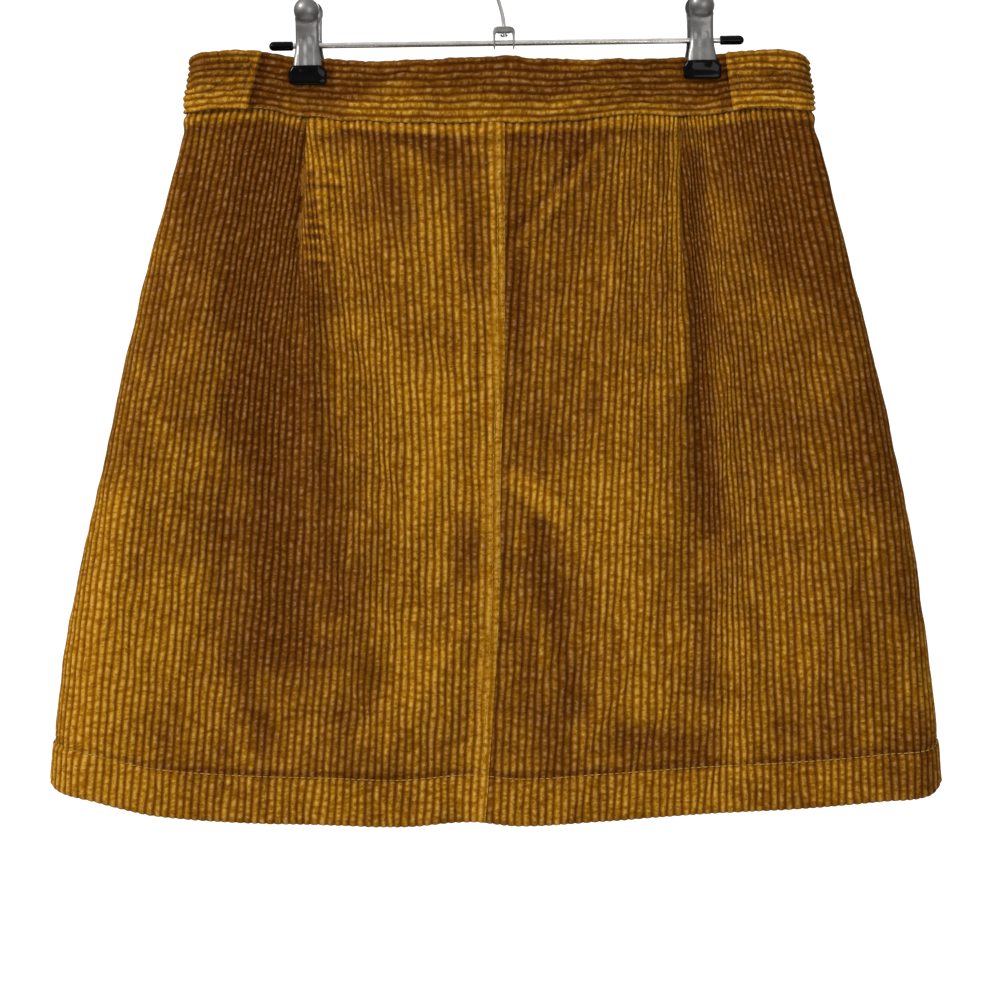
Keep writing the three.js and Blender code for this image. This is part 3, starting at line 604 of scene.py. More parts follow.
def zipped(chain, low, turn_row):
    """Triangles between the chain's two halves, which meet at turn_row."""
    a, b = 0, len(chain) - 1
    made = []
    while a < turn_row or b > turn_row:
        if b == turn_row or (a < turn_row and low[a + 1] <= low[b - 1]):
            made.append((chain[a], chain[a + 1], chain[b]))
            a += 1
        else:
            made.append((chain[a], chain[b - 1], chain[b]))
            b -= 1
    made = np.array(made)
    distinct = (made[:, 0] != made[:, 1]) & (made[:, 1] != made[:, 2]) & (made[:, 0] != made[:, 2])
    return made[distinct]


def packed(points, faces, measures):
    """Only the points that some face uses."""
    used = np.unique(np.concatenate([c.ravel() for c in faces]))
    number = np.full(len(points), -1)
    number[used] = np.arange(len(used))
    return points[used], [number[c] for c in faces], {k: v[used] for k, v in measures.items()}


quads, ends = loop_faces(np.arange(12).reshape(4, 3), np.arange(12.0).reshape(4, 3), 2)
print("a loop of 4 rows and 3 columns has", len(quads), "quads and", len(ends), "triangles at its ends")

# %% [markdown]
# The pile doesn't lie the same way everywhere. Handling brushes it up or down, and the same cloth
# then looks golden in one place and rust brown in another. The same measure also carries painted
# light and shade: painted shade in the hollows, on the far sides of folds and darts and under the
# puckers, and painted light on the sides and tops that face the lamp. A short table says where: the
# place, how far it reaches across and down, and how much lighter (above 0) or darker it is.

# %% How the pile lies, with painted light and shade
NAP_AND_SHADING = [  # face, one end, the other end, width, how much lighter or darker
    # painted highlight on each pucker's top, and painted shade just below it
    *[(BACK, -109, b - 1, x, b + 1.5, 1.8, .40) for b, x in PUCKERS],
    *[(BACK, -109, b + 1.5, x - 2, b + 4, 1.4, -.45) for b, x in PUCKERS],
    # painted shade in the hollow beside the left dart, and painted light along the far left edge
    (BACK, -134, 51, -135, 191, 23, -.44), (BACK, -130, 191, -121, 325, 19, -.48),
    (BACK, -118, 51, -118, 135, 9, -.30), (BACK, -147, 337, -133, 381, 8, -.25),
    (BACK, -161, 247, -150, 325, 8, -.14), (BACK, -107, 135, -94, 303, 8, -.22),
    (BACK, -106, 45, -100, 75, 8, .25), (BACK, -225, 325, -232, 404, 24, .40),
    (BACK, -215, 247, -228, 331, 9, .28), (BACK, -196, 300, -206, 395, 26, .16),
    (BACK, -183, 163, -191, 208, 8, .16),
    (BACK, -172, 60, -186, 200, 12, -.14), (BACK, -160, 51, -160, 120, 14, -.15),
    # between the left dart and the centre seam
    (BACK, -40, 96, -35, 135, 18, .11), (BACK, -92, 62, -86, 150, 9, .10),
    (BACK, -74, 152, -57, 191, 14, .20),
    (BACK, -35, 191, -40, 281, 19, .30), (BACK, -57, 314, -40, 359, 16, .24),
    (BACK, -90, 40.5, -30, 46, 2, -.6), (BACK, -50, 48, -16, 60, 5, -.22),
    (BACK, 4, 46, 36, 44, 3, -.4), (BACK, 54, 50, 40, 70, 1.8, .2),
    (BACK, 40, 70, 10, 104, 1.6, .1), (BACK, 50, 46, 6, 98, 2.2, -.18),
    (BACK, -68, 51, -57, 96, 8, -.20),
    (BACK, -18, 73, -15, 113, 6, -.20), (BACK, -23, 258, -18, 281, 9, -.28),
    (BACK, -71, 348, -85, 370, 9, -.16), (BACK, -80, 290, -84, 330, 12, -.12),
    # between the centre seam and the right dart
    (BACK, 8, 40, 9, 165, 6, -.24), (BACK, 41, 45, 32, 90, 16, -.22),
    (BACK, 12, 120, 14, 220, 12, -.13), (BACK, 77, 51, 83, 68, 10, .10),
    (BACK, 66, 219, 77, 359, 22, .22), (BACK, 57, 240, 58, 244, 9, .14),
    (BACK, 7, 236, 33, 256, 4.5, .75),
    (BACK, 21, 264, 41, 359, 8, -.34), (BACK, 10, 325, 32, 393, 10, -.20),
    (BACK, 66, 379, 111, 384, 10, -.26), (BACK, 99, 57, 103, 180, 4, .18),
    # the right dart's shaded side, and the right side
    (BACK, 107, 57, 110, 191, 5.5, -.68), (BACK, 110, 191, 116, 260, 6.5, -.50),
    (BACK, 164, 51, 166, 100, 24, -.50), (BACK, 132, 48, 134, 66, 18, -.26),
    (BACK, 185, 120, 205, 220, 18, -.18),
    (BACK, 144, 160, 140, 220, 34, -.08), (BACK, 206, 191, 223, 303, 13, -.20),
    (BACK, 195, 281, 206, 331, 16, -.12), (BACK, 228, 380, 230, 400, 13, -.22),
    (BACK, 111, 303, 114, 353, 7, -.25), (BACK, 150, 310, 152, 330, 24, .10),
    (BACK, 128, 370, 130, 393, 8, .16),
    # the hidden front, in the same manner
    (FRONT, -118, 60, -124, 240, 20, -.32), (FRONT, 116, 60, 120, 250, 18, -.30),
    (FRONT, -50, 100, -56, 280, 22, .22), (FRONT, 56, 180, 70, 360, 24, .22),
    (FRONT, -215, 260, -236, 400, 14, .28), (FRONT, 30, 330, 44, 395, 12, -.22),
    (FRONT, -30, 45, -80, 56, 7, -.28), (FRONT, 34, 90, 30, 200, 9, -.2),
]
print("places in the pile's table:", len(NAP_AND_SHADING))

# %% Slow unevenness
def drifting(seed, x, y, size, count=9):
    """A slow uneven value of about -1 to 1, from a few seeded waves."""
    draw = np.random.default_rng(seed)
    total = np.zeros(np.broadcast(x, y).shape)
    for _ in range(count):
        angle, length, phase = draw.uniform(0, 6.3), size * draw.uniform(0.5, 2), draw.uniform(0, 6.3)
        ahead = x * math.cos(angle) + y * math.sin(angle)
        total += np.sin(2 * math.pi * ahead / length + phase)
    return total / math.sqrt(count) / 1.4


def nap_and_shading_at(face, q, below):
    # a slow random lie of the pile, plus the table's painted light and shade
    nap_and_shading = 0.5 + 0.06 * drifting(31 + face, q, below, 70)
    return np.clip(nap_and_shading + along_lines(NAP_AND_SHADING, face, q, below), 0, 1)


print("the pile's lie beside the seam, from 0 to 1:", nap_and_shading_at(BACK, 0.0, 200.0).round(2))

# %% [markdown]
# Four panels make the skirt. The back ones meet in a topstitched strip that stands a little
# proud; the front ones lap, and the lap hides the zip. Under the waistband each wale starts as a
# small bead, because the seam's folded edges push it out, and a dent follows it.

# %% Panel measures
BAND_SEAM = 0.45
HEM_DEPTH = 26
HEM_RADIUS = 1.9
LAP_RADIUS = 1.0
PANEL_WALL = 2
TUCK = 2.4
STRIP_PROUD = 1.4
STRIP = (7.2, 8.6, 12.4, 14)  # where its edge falls below the bar, and where it falls above it
STRIP_STITCH = 4.4
STRIP_BAR = 59
LAP = (8, 12)
CROWN_PROUD = 0.5
FIRST_GUESS = (33.0, 400.0)


def spaced(start, end, count):
    return list(np.linspace(start, end, count, endpoint=False))


def panel_rows():
    """Rows as (share of the way to the hem's stitches, drop past them, turn, plain inside)."""
    rows = [(0, -TUCK, 0, False), (0, -TUCK / 2, 0, False)]
    rows += [(v, 0, 0, False) for v in spaced(0, 0.045, 14) + spaced(0.045, 0.985, 118)]
    rows += [(v, 0, 0, False) for v in spaced(0.985, 1, 7)]
    straight = HEM_DEPTH - HEM_RADIUS
    rows += [(1, d, 0, False) for d in spaced(0, 4, 5) + spaced(4, straight, 8)]
    rows += [(1, straight, t, False) for t in spaced(0, math.pi, 8)]
    rows += [(1, d, math.pi, False) for d in spaced(straight, 0, 8)]
    rows += [(1, 0.6, math.pi, False), (1, 0.2, math.pi, True)]
    rows += [(v, 0, math.pi, True) for v in spaced(0.99, 0, 15)] + [(0, -TUCK, math.pi, True)]
    return [np.array(part)[:, None] for part in zip(*rows)]


print("rows in a panel's mesh:", len(panel_rows()[0]))

# %% Raised edges, and painted light and shade on the seams
def sewn_dart(face, below):
    """1 along the dart's stitches, and 0 past its tip."""
    return 1 - ramp(below, DART_TIP[face] - 18, DART_TIP[face] + 2)


def raised_at(face, side, from_seam, below):
    """How far a panel lies above the skin, and whether it is one lifted layer."""
    if (face, side) == (BACK, -1):
        inner, outer = 1 - ramp(from_seam, *STRIP[:2]), 1 - ramp(from_seam, *STRIP[2:])
        upper = 1 - ramp(below, STRIP_BAR - 2, STRIP_BAR + 2)
        rolled = mix(0.35, 1, ramp(from_seam, 0, 2.6))
        return STRIP_PROUD * rolled * np.maximum(inner, outer * mix(0.3, 1, upper)), False
    if (face, side) == (FRONT, 1):
        return (PANEL_WALL + 0.3) * (1 - ramp(from_seam, *LAP)), True
    return np.zeros_like(from_seam), False


def seam_light_and_shade(face, side, p):
    """Painted light and shade on the pressed seams: the topstitched strip and the wale beside it
    painted lighter, a painted highlight on the beads under the band with painted shade in the dent
    below them, a lighter hem band with painted shade just above its stitches, a painted shadow
    beside the strip, and a lit and a shaded side along each dart.
    """
    # painted light on the raised strip and the wale beside it
    strip = 0.42 * (1 - ramp(p["from_seam"], *STRIP[:2])) * ((face, side) == (BACK, -1))
    next_wale = 0.24 * hump(p["from_seam"], 10.6, 2) * ramp(p["below"], 130, 190)
    strip += next_wale * ((face, side) == (BACK, -1))
    # painted highlight on the beads under the band, painted shade in the dent below them
    bead_light_and_shade = 0.32 * hump(p["top"], 3, 3.2) - 0.22 * hump(p["top"], 10, 2.8)
    past_hem = p["below"] - p["stitch"]
    # a lighter hem band, and painted shade just above its stitches
    hem = 0.1 * ramp(past_hem, 1, 4) - 0.3 * hump(past_hem, -2.2, 1.8)
    # painted shadow beside the strip
    shadow_beside_strip = -0.28 * hump(p["from_seam"], 0, 3.2) * ((face, side) == (BACK, 1))
    sewn = sewn_dart(face, p["below"])
    # painted light on one side of each dart and painted shade on the other
    dart = np.where(p["past_dart"] > 0, -0.34, 0.3) * hump(p["past_dart"], 0, 4.5) * sewn
    return strip + bead_light_and_shade + hem + shadow_beside_strip + dart


print("the strip stands", STRIP_PROUD, "mm proud")

# %% Points of a panel
EDGE_OFFSET = {(BACK, -1): 0.1, (BACK, 1): -0.35, (FRONT, -1): 1, (FRONT, 1): -6}


def hem_stitch(q):
    """The hem's topstitching runs level with the fold, and both rise a little in the middle."""
    return HEM_LOW(q) - HEM_DEPTH - 2 * hump(q, 0, 90)


def panel_places(face, side):
    """Where every point of a half panel's grid lies on the skirt, with its wale and its pinches."""
    share, drop, turn, plain = panel_rows()
    _, wales, paths, dart_column = wale_paths(face, side)
    columns = np.arange(len(wales))[None, :]
    below = mix(*FIRST_GUESS, share) + drop + 0 * columns
    for _ in range(4):
        step = np.clip(below, 0, LAST_BELOW - 1.001)
        i = step.astype(int)
        u = mix(paths[i, columns], paths[i + 1, columns], step - i)
        flat, arc, size = fold_arc(side, below)
        start = side * SEAM_X[face](below) + EDGE_OFFSET[face, side]
        dart = side * DART_X[face, side](below)
        above = below < DART_TIP[face]
        inner = columns < dart_column
        dart_hit = above & ((inner & (u >= dart)) | (~inner & (u <= dart)) | (columns == dart_column))
        start_hit, end_hit = u <= start, u >= flat + arc
        u = np.where(dart_hit, dart, np.clip(u, start, flat + arc))
        q = side * np.where(u > flat, flat + (u - flat) / arc * size, u)
        stitch = hem_stitch(q)
        below = mix(BAND_LOW(q) + BAND_SEAM, stitch, share) + drop
    ids = columns + len(wales) * np.arange(len(share))[:, None]
    wale = np.broadcast_to(wales, u.shape).copy()
    for row in range(len(share)):
        last, first = np.flatnonzero(start_hit[row])[-1], np.flatnonzero(end_hit[row])[0]
        ids[row, : last + 1], ids[row, first:] = ids[row, last], ids[row, first]
        ids[row, dart_hit[row]] = ids[row, dart_column]
        between = slice(last + 1, first)
        wale[row, last] = np.interp(u[row, last], u[row, between], wales[between])
    pinned = start_hit | end_hit | dart_hit
    return dict(
        u=u, q=q, below=below, wale=wale, pinned=pinned, ids=ids, stitch=stitch, turn=turn,
        plain=plain > 0, from_seam=u - start, from_side=flat + arc - u, past_dart=u - dart,
        from_dart=np.abs(u - dart), top=below - BAND_LOW(q) - BAND_SEAM,
    )


print("the hem's stitches lie", round(float(hem_stitch(0.0))), "mm below the waist in the middle")

# %% [markdown]
# A corduroy's relief is more than its wales. Stitching pulls the cloth down in a line, the folded
# allowances beside it push it up, the hem is two layers thick, and handling leaves it a little
# uneven. Each of these adds to, or takes from, the height of a point over the skin.

# %% Heights of a panel
SEAM_ROLL = {(BACK, -1): (0.85, 1.7), (BACK, 1): (0.8, 1.4)}


def panel_heights(face, side, p):
    """Height of each point over the skin: wales, seams, stitch dents and unevenness."""
    outside = p["turn"] == 0
    crown = np.where(p["pinned"], 0, crown_at(p["wale"]))
    if (face, side) in SEAM_ROLL:
        high, wide = SEAM_ROLL[face, side]
        crown = np.maximum(crown, high * hump(p["from_seam"], 0, wide))
    soft = 1 - 0.16 * drifting(51 + face * side, p["u"], p["below"] * 0.7, 16)
    folded = (face, side) != (FRONT, -1)
    edge = ramp(np.minimum(p["from_seam"] + 1.6 * folded, p["from_side"] + 0.6), 0, 1.6)
    near_dart = hump(p["from_dart"], 0, 1.9) * sewn_dart(face, p["below"])
    if (face, side) == (BACK, -1):
        crushed_sheen = 1 - ramp(p["from_seam"], *STRIP[:2])
        soft = soft * (1 - 0.38 * crushed_sheen)
    relief = RELIEF * crown * edge * soft * (1 - 0.8 * near_dart) - (RELIEF - CROWN_PROUD)
    if (face, side) == (BACK, -1):
        # the strip's crushed pile gets a higher crown measure, which paints it lighter and adds painted
        # sheen
        crown = np.maximum(crown, 0.5 * crushed_sheen)
    dents = (0.15 if folded else 0.25) * hump(p["from_seam"], 0, 1.1)
    dents = dents + 0.5 * hump(p["from_side"], 0, 1.5)
    dents += 1.3 * near_dart
    past_hem = p["below"] - p["stitch"]
    hem_line, over_hem = hump(past_hem, 0, 1.2), hump(past_hem, -3.2, 2.2)
    under_hem = ramp(past_hem, 0.5, 3)
    bead = hump(p["top"], 3.6, 2.6)
    dent = hump(p["top"], 9.5, 2.6) * (0.5 + 0.5 * drifting(8, p["u"], 0 * p["u"], 60))
    relief += 0.45 * under_hem - 0.85 * hem_line - 0.35 * over_hem + 0.8 * bead - 1.0 * dent
    relief -= 1.1 * (1 - ramp(p["top"], -0.2, 1.8))
    crumple = drifting(71 + 3 * face + side, p["u"], p["below"], 38)
    relief += 0.3 * drifting(61 + side, p["u"], p["below"], 80) + 0.4 * (0.7 - np.abs(crumple))
    if (face, side) == (BACK, -1):
        line = hump(p["from_seam"], STRIP_STITCH, 0.9)
        bar = hump(p["below"], STRIP_BAR, 1.0) * (p["from_seam"] < STRIP[3])
        relief -= 0.6 * line + 0.7 * bar * (p["from_seam"] > STRIP[0])
    relief = relief * (1 - 0.4 * np.sin(p["turn"]))
    inner = 0.5 * (relief - dents) * (p["turn"] < 3) + 0.2 * (crown - 0.5)
    relief = np.where(outside, relief - dents, inner)
    # the crown measure falls with the edge, so the painted valley shade also darkens the seam edges
    return np.where(p["plain"], 0, relief), np.where(p["plain"], 0.35, crown * edge)


print("a wale is", RELIEF, "mm high")

# %% A panel's mesh
def panel_cloth(face, side):
    p = panel_places(face, side)
    relief, crown = panel_heights(face, side, p)
    raised, single = raised_at(face, side, p["from_seam"], p["below"])
    radius = np.where(single & (raised > 0), LAP_RADIUS, HEM_RADIUS)
    kept = 1.0 if single else (1 + np.cos(p["turn"])) / 2
    lift = raised * kept - radius + (radius + relief) * np.cos(p["turn"])
    lift = np.where(p["plain"], raised * kept - PANEL_WALL, lift)
    below = p["below"] + np.where(p["plain"], 0, (radius + relief) * np.sin(p["turn"]))
    points = lifted(face, p["q"], below, lift)
    turn_row = int(np.argmax(p["turn"][:, 0] > math.pi / 2 - 0.01))
    faces = loop_faces(p["ids"], p["below"] + p["turn"], turn_row)
    measures = dict(
        crown=crown, wale=p["wale"] + 100 * (face + 2) + 40 * side, down=p["below"],
        nap_and_shading=np.clip(nap_and_shading_at(face, p["q"], p["below"]) + seam_light_and_shade(face, side, p), 0, 1),
        inside=np.broadcast_to(p["plain"], crown.shape) * 1.0,
    )
    flat_measures = {k: np.asarray(v, float).ravel() for k, v in measures.items()}
    return packed(points.reshape(-1, 3), faces, flat_measures)


print("a panel's wall is", PANEL_WALL, "mm and its folds have a radius of", HEM_RADIUS, "mm")

# %% Make the panels
PANEL_NAMES = {(BACK, -1): "back_panel_left", (BACK, 1): "back_panel_right",
               (FRONT, -1): "front_panel_left", (FRONT, 1): "front_panel_right"}
for (face, side), node in PANEL_NAMES.items():
    points, faces, measures = panel_cloth(face, side)
    cloth = put(node + "_cloth", points, faces, CORDUROY, [node], measures)
    triangles = sum(len(c) * (c.shape[1] - 2) for c in faces)
    print(cloth.name, len(points), "points,", triangles, "triangles")

# %% [markdown]
# The waistband is one strip folded over along its top edge, with the wales running across the
# body. Its ends come round the sides and are sewn down on the back as tabs, each with a box of
# stitches crossed by an X. The rows of its mesh go round the strip's section as a closed loop.

# %% Waistband measures
BAND_WALL, BAND_PROUD = 3, 0.8
BAND_INSET = BAND_WALL + 0.3
BAND_RADIUS = BAND_WALL / 2
BAND_WALES = 9
UNDERLAP, OVERLAP = 14, 12
TAB_TOP = {-1: -134.4, 1: 125}
TAB_LOW = {-1: -141.8, 1: 129.2}
TAB_LINES = {
    -1: [((-169.7, 3), (-170.3, 25)), ((-170.3, 25), (-144.6, 24)), ((-144.6, 24), (-139, 1.5)),
         ((-139, 1.5), (-169.7, 3)), ((-169.7, 3), (-144.6, 24)), ((-170.3, 25), (-139, 1.5))],
    1: [((159.4, 0.5), (162, 27)), ((162, 27), (134, 25.5)), ((134, 25.5), (131.2, 2)),
        ((131.2, 2), (159.4, 0.5)), ((134, 4.5), (158.2, 22)), ((160, 3), (135, 24))],
}
CLIP_X = {-1: -110, 1: 110.6}
CLIP_HALF, CLIP_MIDDLE, CLIP_REACH = 9.5, 8.5, 5
SIDE_X, BAND_MIDDLE = 176, 15
BAND_RELIEF = 1.12
print("the tabs end", TAB_TOP, "mm from the middle and the clips hold at", CLIP_X)

# %% Rows and ends of the waistband
def from_lines(lines, x, below):
    """Distance to the nearest of a few straight stitch lines."""
    nearest = np.full(np.broadcast(x, below).shape, 99.0)
    for (x1, b1), (x2, b2) in lines:
        dx, db = x2 - x1, b2 - b1
        t = np.clip(((x - x1) * dx + (below - b1) * db) / (dx * dx + db * db), 0, 1)
        nearest = np.minimum(nearest, np.hypot(x - x1 - t * dx, below - b1 - t * db))
    return nearest


def corner_drop(q):
    """The band's two upper outer corners are worn round."""
    drop = 0 * q
    for side, (size, deep) in BAND_CORNER.items():
        drop += deep * np.clip((side * q - abs(band_end(side, 0)) + size) / size, 0, 1) ** 2.2
    return drop


def band_rows():
    """Each row's place round the section: wale number, share down the face and turn."""
    wale = (np.arange(2 * BAND_WALES)[:, None] + PHASES).ravel() + 0.5
    flat = BAND_WALES - 1
    down, under = wale - 0.5, wale - 0.5 - flat
    up, over = under - 1, under - 1 - flat
    share = np.clip(down / flat, 0, 1) - np.clip(up / flat, 0, 1)
    turn = math.pi * (np.clip(under, 0, 1) + np.clip(over, 0, 1))
    return wale[:, None], share[:, None], turn[:, None]


def band_end(side, share):
    below = mix(BAND_TOP(side * SIDE_X), BAND_LOW(side * SIDE_X), share)
    return side * (half_width(side, below) - BAND_INSET)


wale, share, turn = band_rows()
band_long = float(band_end(1, 0) - band_end(-1, 0))
print("the waistband has", len(wale), "rows and is", round(band_long), "mm long")

# %% [markdown]
# The clips squeeze the band's pile flat, each tab's stitches pull dents into it, and the sewn-down
# edge of a tab is rounded off. These give the band its heights, and the lie of its pile together
# with painted light and shade: a painted highlight on each tab's rim, a painted shadow on the back
# band beside each tab's edge and painted shade below the clips.

# %% Heights of the waistband
def under_clips(q, below):
    """1 where a clip squeezes the band, and 0 away from both."""
    deep = (np.maximum(np.abs(below - CLIP_MIDDLE) - CLIP_REACH, 0) / 2) ** 2
    return sum(
        np.exp(-((np.maximum(np.abs(q - x) - CLIP_HALF, 0) / 2.2) ** 2) - deep)
        for x in CLIP_X.values()
    )


def band_heights(face, q, below, share, crown, tab_side):
    """The relief over the strip's own face, how far its ends thin out, and the pile's lie with
    painted light and shade: a highlight on each tab's rim, a shadow beside each tab's edge and
    shade below the clips.
    """
    uneven = drifting(91 + tab_side, q * face, below * 2, 34)
    relief = BAND_RELIEF * (1 - 0.38 * uneven) * crown
    clip = under_clips(q, below)
    relief *= 1 - 0.75 * clip
    relief -= 0.6 + 0.3 * clip
    pucker = np.abs(drifting(17, q, below * 0.5, 11))
    relief += (0.3 * drifting(5, q, below, 40) - 0.45 * (1 - ramp(pucker, 0, 0.5))) * (1 - clip)
    nap_and_shading = 0.42 + 0.16 * drifting(6, q, below * 2.5, 50)
    ends = np.zeros_like(below)
    if tab_side:
        on_tab = (face == BACK) & (np.abs(q) > 100)
        line = from_lines(TAB_LINES[tab_side], q, below)
        relief -= on_tab * (0.85 * hump(line, 0, 1.0) + 0.25 * hump(line, 0, 2.6))
        edge = mix(TAB_TOP[tab_side], TAB_LOW[tab_side], share)
        from_edge = np.where(on_tab, np.abs(q - edge), 99)
        rim = hump(from_edge, 2, 1.5)
        relief = mix(relief, 0.35, rim * 0.75)
        ends = BAND_RADIUS * rounding(from_edge / 1.5)
        # painted highlight along the tab's rounded rim, and the tab lighter lower down
        nap_and_shading += on_tab * (0.12 * rim + 0.12 * (below > 22) - 0.08 * (below < 18))
    else:
        past_tabs = np.maximum(np.maximum(-134 - q, q - 128), 0)
        # painted shadow on the back band beside each tab's edge
        nap_and_shading -= 0.3 * (hump(past_tabs, 0, 12) * (np.abs(q) > 122))
    # painted shade below the clips
    shade_below_clips = 0.12 * hump(np.abs(q), 110, 16) * (below > 10)
    lower = 0.34 * ramp(below, 18, 30) - 0.14
    nap_and_shading += lower + 0.22 * (tab_side != 0) + 0.08 * (tab_side > 0) - shade_below_clips
    return relief, clip, ends, np.clip(nap_and_shading, 0, 1)


print("a clip squeezes the band's middle by", under_clips(0.0, 8.5).round(3), "of its full squeeze")

# %% The waistband's cloth
def band_cloth(face, q, share, turn, wale, base, tab_side=0):
    """A strip whose columns lie at q on the given face, base above the narrower ring."""
    top, low = BAND_TOP(q) + corner_drop(q) + BAND_RADIUS, BAND_LOW(q) - BAND_RADIUS
    below = mix(top, low, share)
    crown = crown_at(wale + 0 * q)
    relief, clip, ends, nap_and_shading = band_heights(face, q, below, share, crown, tab_side)
    radius = BAND_RADIUS - ends
    lift = base - BAND_RADIUS + (radius + relief) * np.cos(turn)
    place = below + (radius + relief) * np.sin(turn) + 0.55 * drifting(12, q, below * 1.2, 24)
    inside = ramp(below, -1, 3) * ramp(-below, -31, -26)
    place = place + 0.4 * drifting(13, q, below * 2.6, 10) * inside
    shape = np.broadcast(face, lift).shape
    back = lifted(BACK, q, place, np.broadcast_to(lift, shape), BAND_INSET)
    front = lifted(FRONT, q, place, np.broadcast_to(lift, shape), BAND_INSET)
    points = np.where((np.broadcast_to(face, shape) == BACK)[..., None], back, front)
    turn_row = int(np.argmax(turn[:, 0] > math.pi / 2))
    ids = np.arange(lift.size).reshape(lift.shape)
    start = int(np.argmax(turn[:, 0] > 1.5 * math.pi))
    order = np.roll(np.arange(len(turn)), -start)
    faces = loop_faces(ids[order], place[order], (turn_row - start) % len(turn))
    along = lengths_along(points[0, :, :2])
    # the crown measure is lowered under the clips, so the painted valley shade darkens the band there
    measures = dict(
        crown=np.clip(crown * (1 - 0.3 * clip), 0, 1), wale=wale + 20 * (tab_side + 20) + 0 * q,
        down=np.broadcast_to(along, lift.shape), nap_and_shading=nap_and_shading, inside=0 * lift,
    )
    return points.reshape(-1, 3), faces, {k: np.asarray(v).ravel() for k, v in measures.items()}


print("the waistband's wall is", BAND_WALL, "mm")

# %% Make the back of the waistband
reach = np.linspace(-1, 1, 190)[None, :]
back_q = reach * (np.where(reach < 0, -band_end(-1, share), band_end(1, share)) - 1.2)
points, faces, measures = band_cloth(
    np.full_like(back_q, BACK), back_q, share, turn, wale, np.full_like(back_q, BAND_PROUD)
)
band = put("waistband_back_cloth", points, faces, CORDUROY, ["waistband_back"], measures)
print(band.name, len(points), "points")

# %% Make the front halves, which end as the tabs
def front_band_columns(side, start, lap):
    """Columns from the centre front to the side, round the fold and on to the tab's end."""
    end = band_end(side, share)
    flat_end = end - side * FREE_ROUND(BAND_MIDDLE)
    edge = mix(TAB_TOP[side], TAB_LOW[side], share)
    run, fold = np.linspace(0, 1, 90)[None, :-1], np.linspace(0, 1, 9)[None, :-1]
    tab = 1 - (1 - np.linspace(0, 1, 52)[None, :]) ** 1.25
    parts = [mix(start, flat_end, run), mix(flat_end, end, fold), mix(end, flat_end, fold),
             mix(flat_end, edge, tab)]
    q = np.hstack(parts)
    face = np.hstack([np.full_like(part, on) for part, on in zip(parts, (FRONT, FRONT, BACK, BACK))])
    tab_lift = BAND_PROUD + BAND_INSET
    climb = ramp(side * q, side * flat_end - 20, side * flat_end)
    base = np.where(face == FRONT, mix(BAND_PROUD + lap(side * q), tab_lift, climb), tab_lift)
    return face, q, base


def under_lap(d):
    return -(BAND_WALL + 0.3) * (1 - ramp(d, 23, 38))


def over_lap(d):
    return 0 * d


for letter, side, start, lap in (("a", -1, UNDERLAP, under_lap), ("b", 1, -OVERLAP, over_lap)):
    node = "waistband_front_" + letter
    face, q, base = front_band_columns(side, start, lap)
    points, faces, measures = band_cloth(face, q, share, turn, wale, base, side)
    band = put(node + "_cloth", points, faces, CORDUROY, [node], measures)
    print(band.name, len(points), "points")

# %% [markdown]
# Stitches are what makes a seam read as sewn. Each one is a short plump length of thread that
# rises out of the cloth and dives back in, so a row of them is a row of small capsules laid along
# a line on the skin. The thread is a shade paler than the pile and has a fine twist.

# %% Thread finish
def thread_finish(name, dull, bright):
    f = Finish(name)
    place = f.place()
    twist = f.node("ShaderNodeTexWave", {"wave_type": "BANDS", "bands_direction": "DIAGONAL"},
                   {"Vector": place, "Scale": 900.0, "Distortion": 1.5, "Detail": 1.0}, out="Fac")
    wear = f.noise(place, 160.0, 3.0, 0.6)
    colour = f.blend(dull, bright, wear.between(0.35, 0.65))
    # painted shade in the grooves of the twist, where the bump is low
    colour = f.blend(colour, (0.22, 0.09, 0.01, 1), (1 - twist) * 0.5)
    return f.surface(Base_Color=colour, Roughness=0.7, Normal=f.bump(twist, 0.4, 0.0002),
                     Specular_IOR_Level=0.1)


THREAD = thread_finish("thread", (0.42, 0.225, 0.025, 1), (0.55, 0.34, 0.06, 1))
# a painted-shade copy of the same thread, darker, for stitches sunk into the pile
SHADED_THREAD = thread_finish("shaded_thread", (0.20, 0.08, 0.008, 1), (0.34, 0.15, 0.015, 1))
print("thread nodes:", len(THREAD.node_tree.nodes))

# %% A row of stitches
STITCH_TURNS = full_turn(6)
STITCH_STEPS = np.linspace(0.04, 0.96, 6)


def read_along(travelled, values, at):
    """Three-part values, given at the travelled distances, read at others."""
    return np.stack([np.interp(at, travelled, values[:, k]) for k in range(3)], -1)


def stitch_row(places, normals, stitch=3.4, gap=0.5, thick=0.55, rise=0.25):
    """Capsules of thread along a dense line of places."""
    travelled = lengths_along(places)
    starts = np.arange(0, travelled[-1] - stitch, stitch)
    draw = np.random.default_rng(len(starts))
    ends = starts + stitch - gap * draw.uniform(0.6, 1.5, len(starts))
    rings = []
    for t in STITCH_STEPS:
        at = mix(starts, ends, t)
        centre, normal = read_along(travelled, places, at), read_along(travelled, normals, at)
        ahead = read_along(travelled, places, at + 0.3) - centre
        side = np.cross(ahead, normal)
        side /= np.linalg.norm(side, axis=1, keepdims=True) + 1e-9
        bulge = math.sin(math.pi * t)
        centre = centre + normal * (rise * bulge - rise)
        size = thick / 2 * bulge ** 0.4
        rings.append([centre + size * (side * math.cos(a) + normal * math.sin(a)) for a in STITCH_TURNS])
    rings = np.array(rings).transpose(2, 0, 1, 3)
    count, steps, turns, _ = rings.shape
    ids = np.arange(count * steps * turns).reshape(count, steps, turns)
    nxt = np.roll(ids, -1, axis=2)
    quads = np.stack([ids[:, :-1], nxt[:, :-1], nxt[:, 1:], ids[:, 1:]], -1).reshape(-1, 4)
    caps = np.concatenate([ids[:, 0, ::-1], ids[:, -1]])
    return rings.reshape(-1, 3), quads, caps


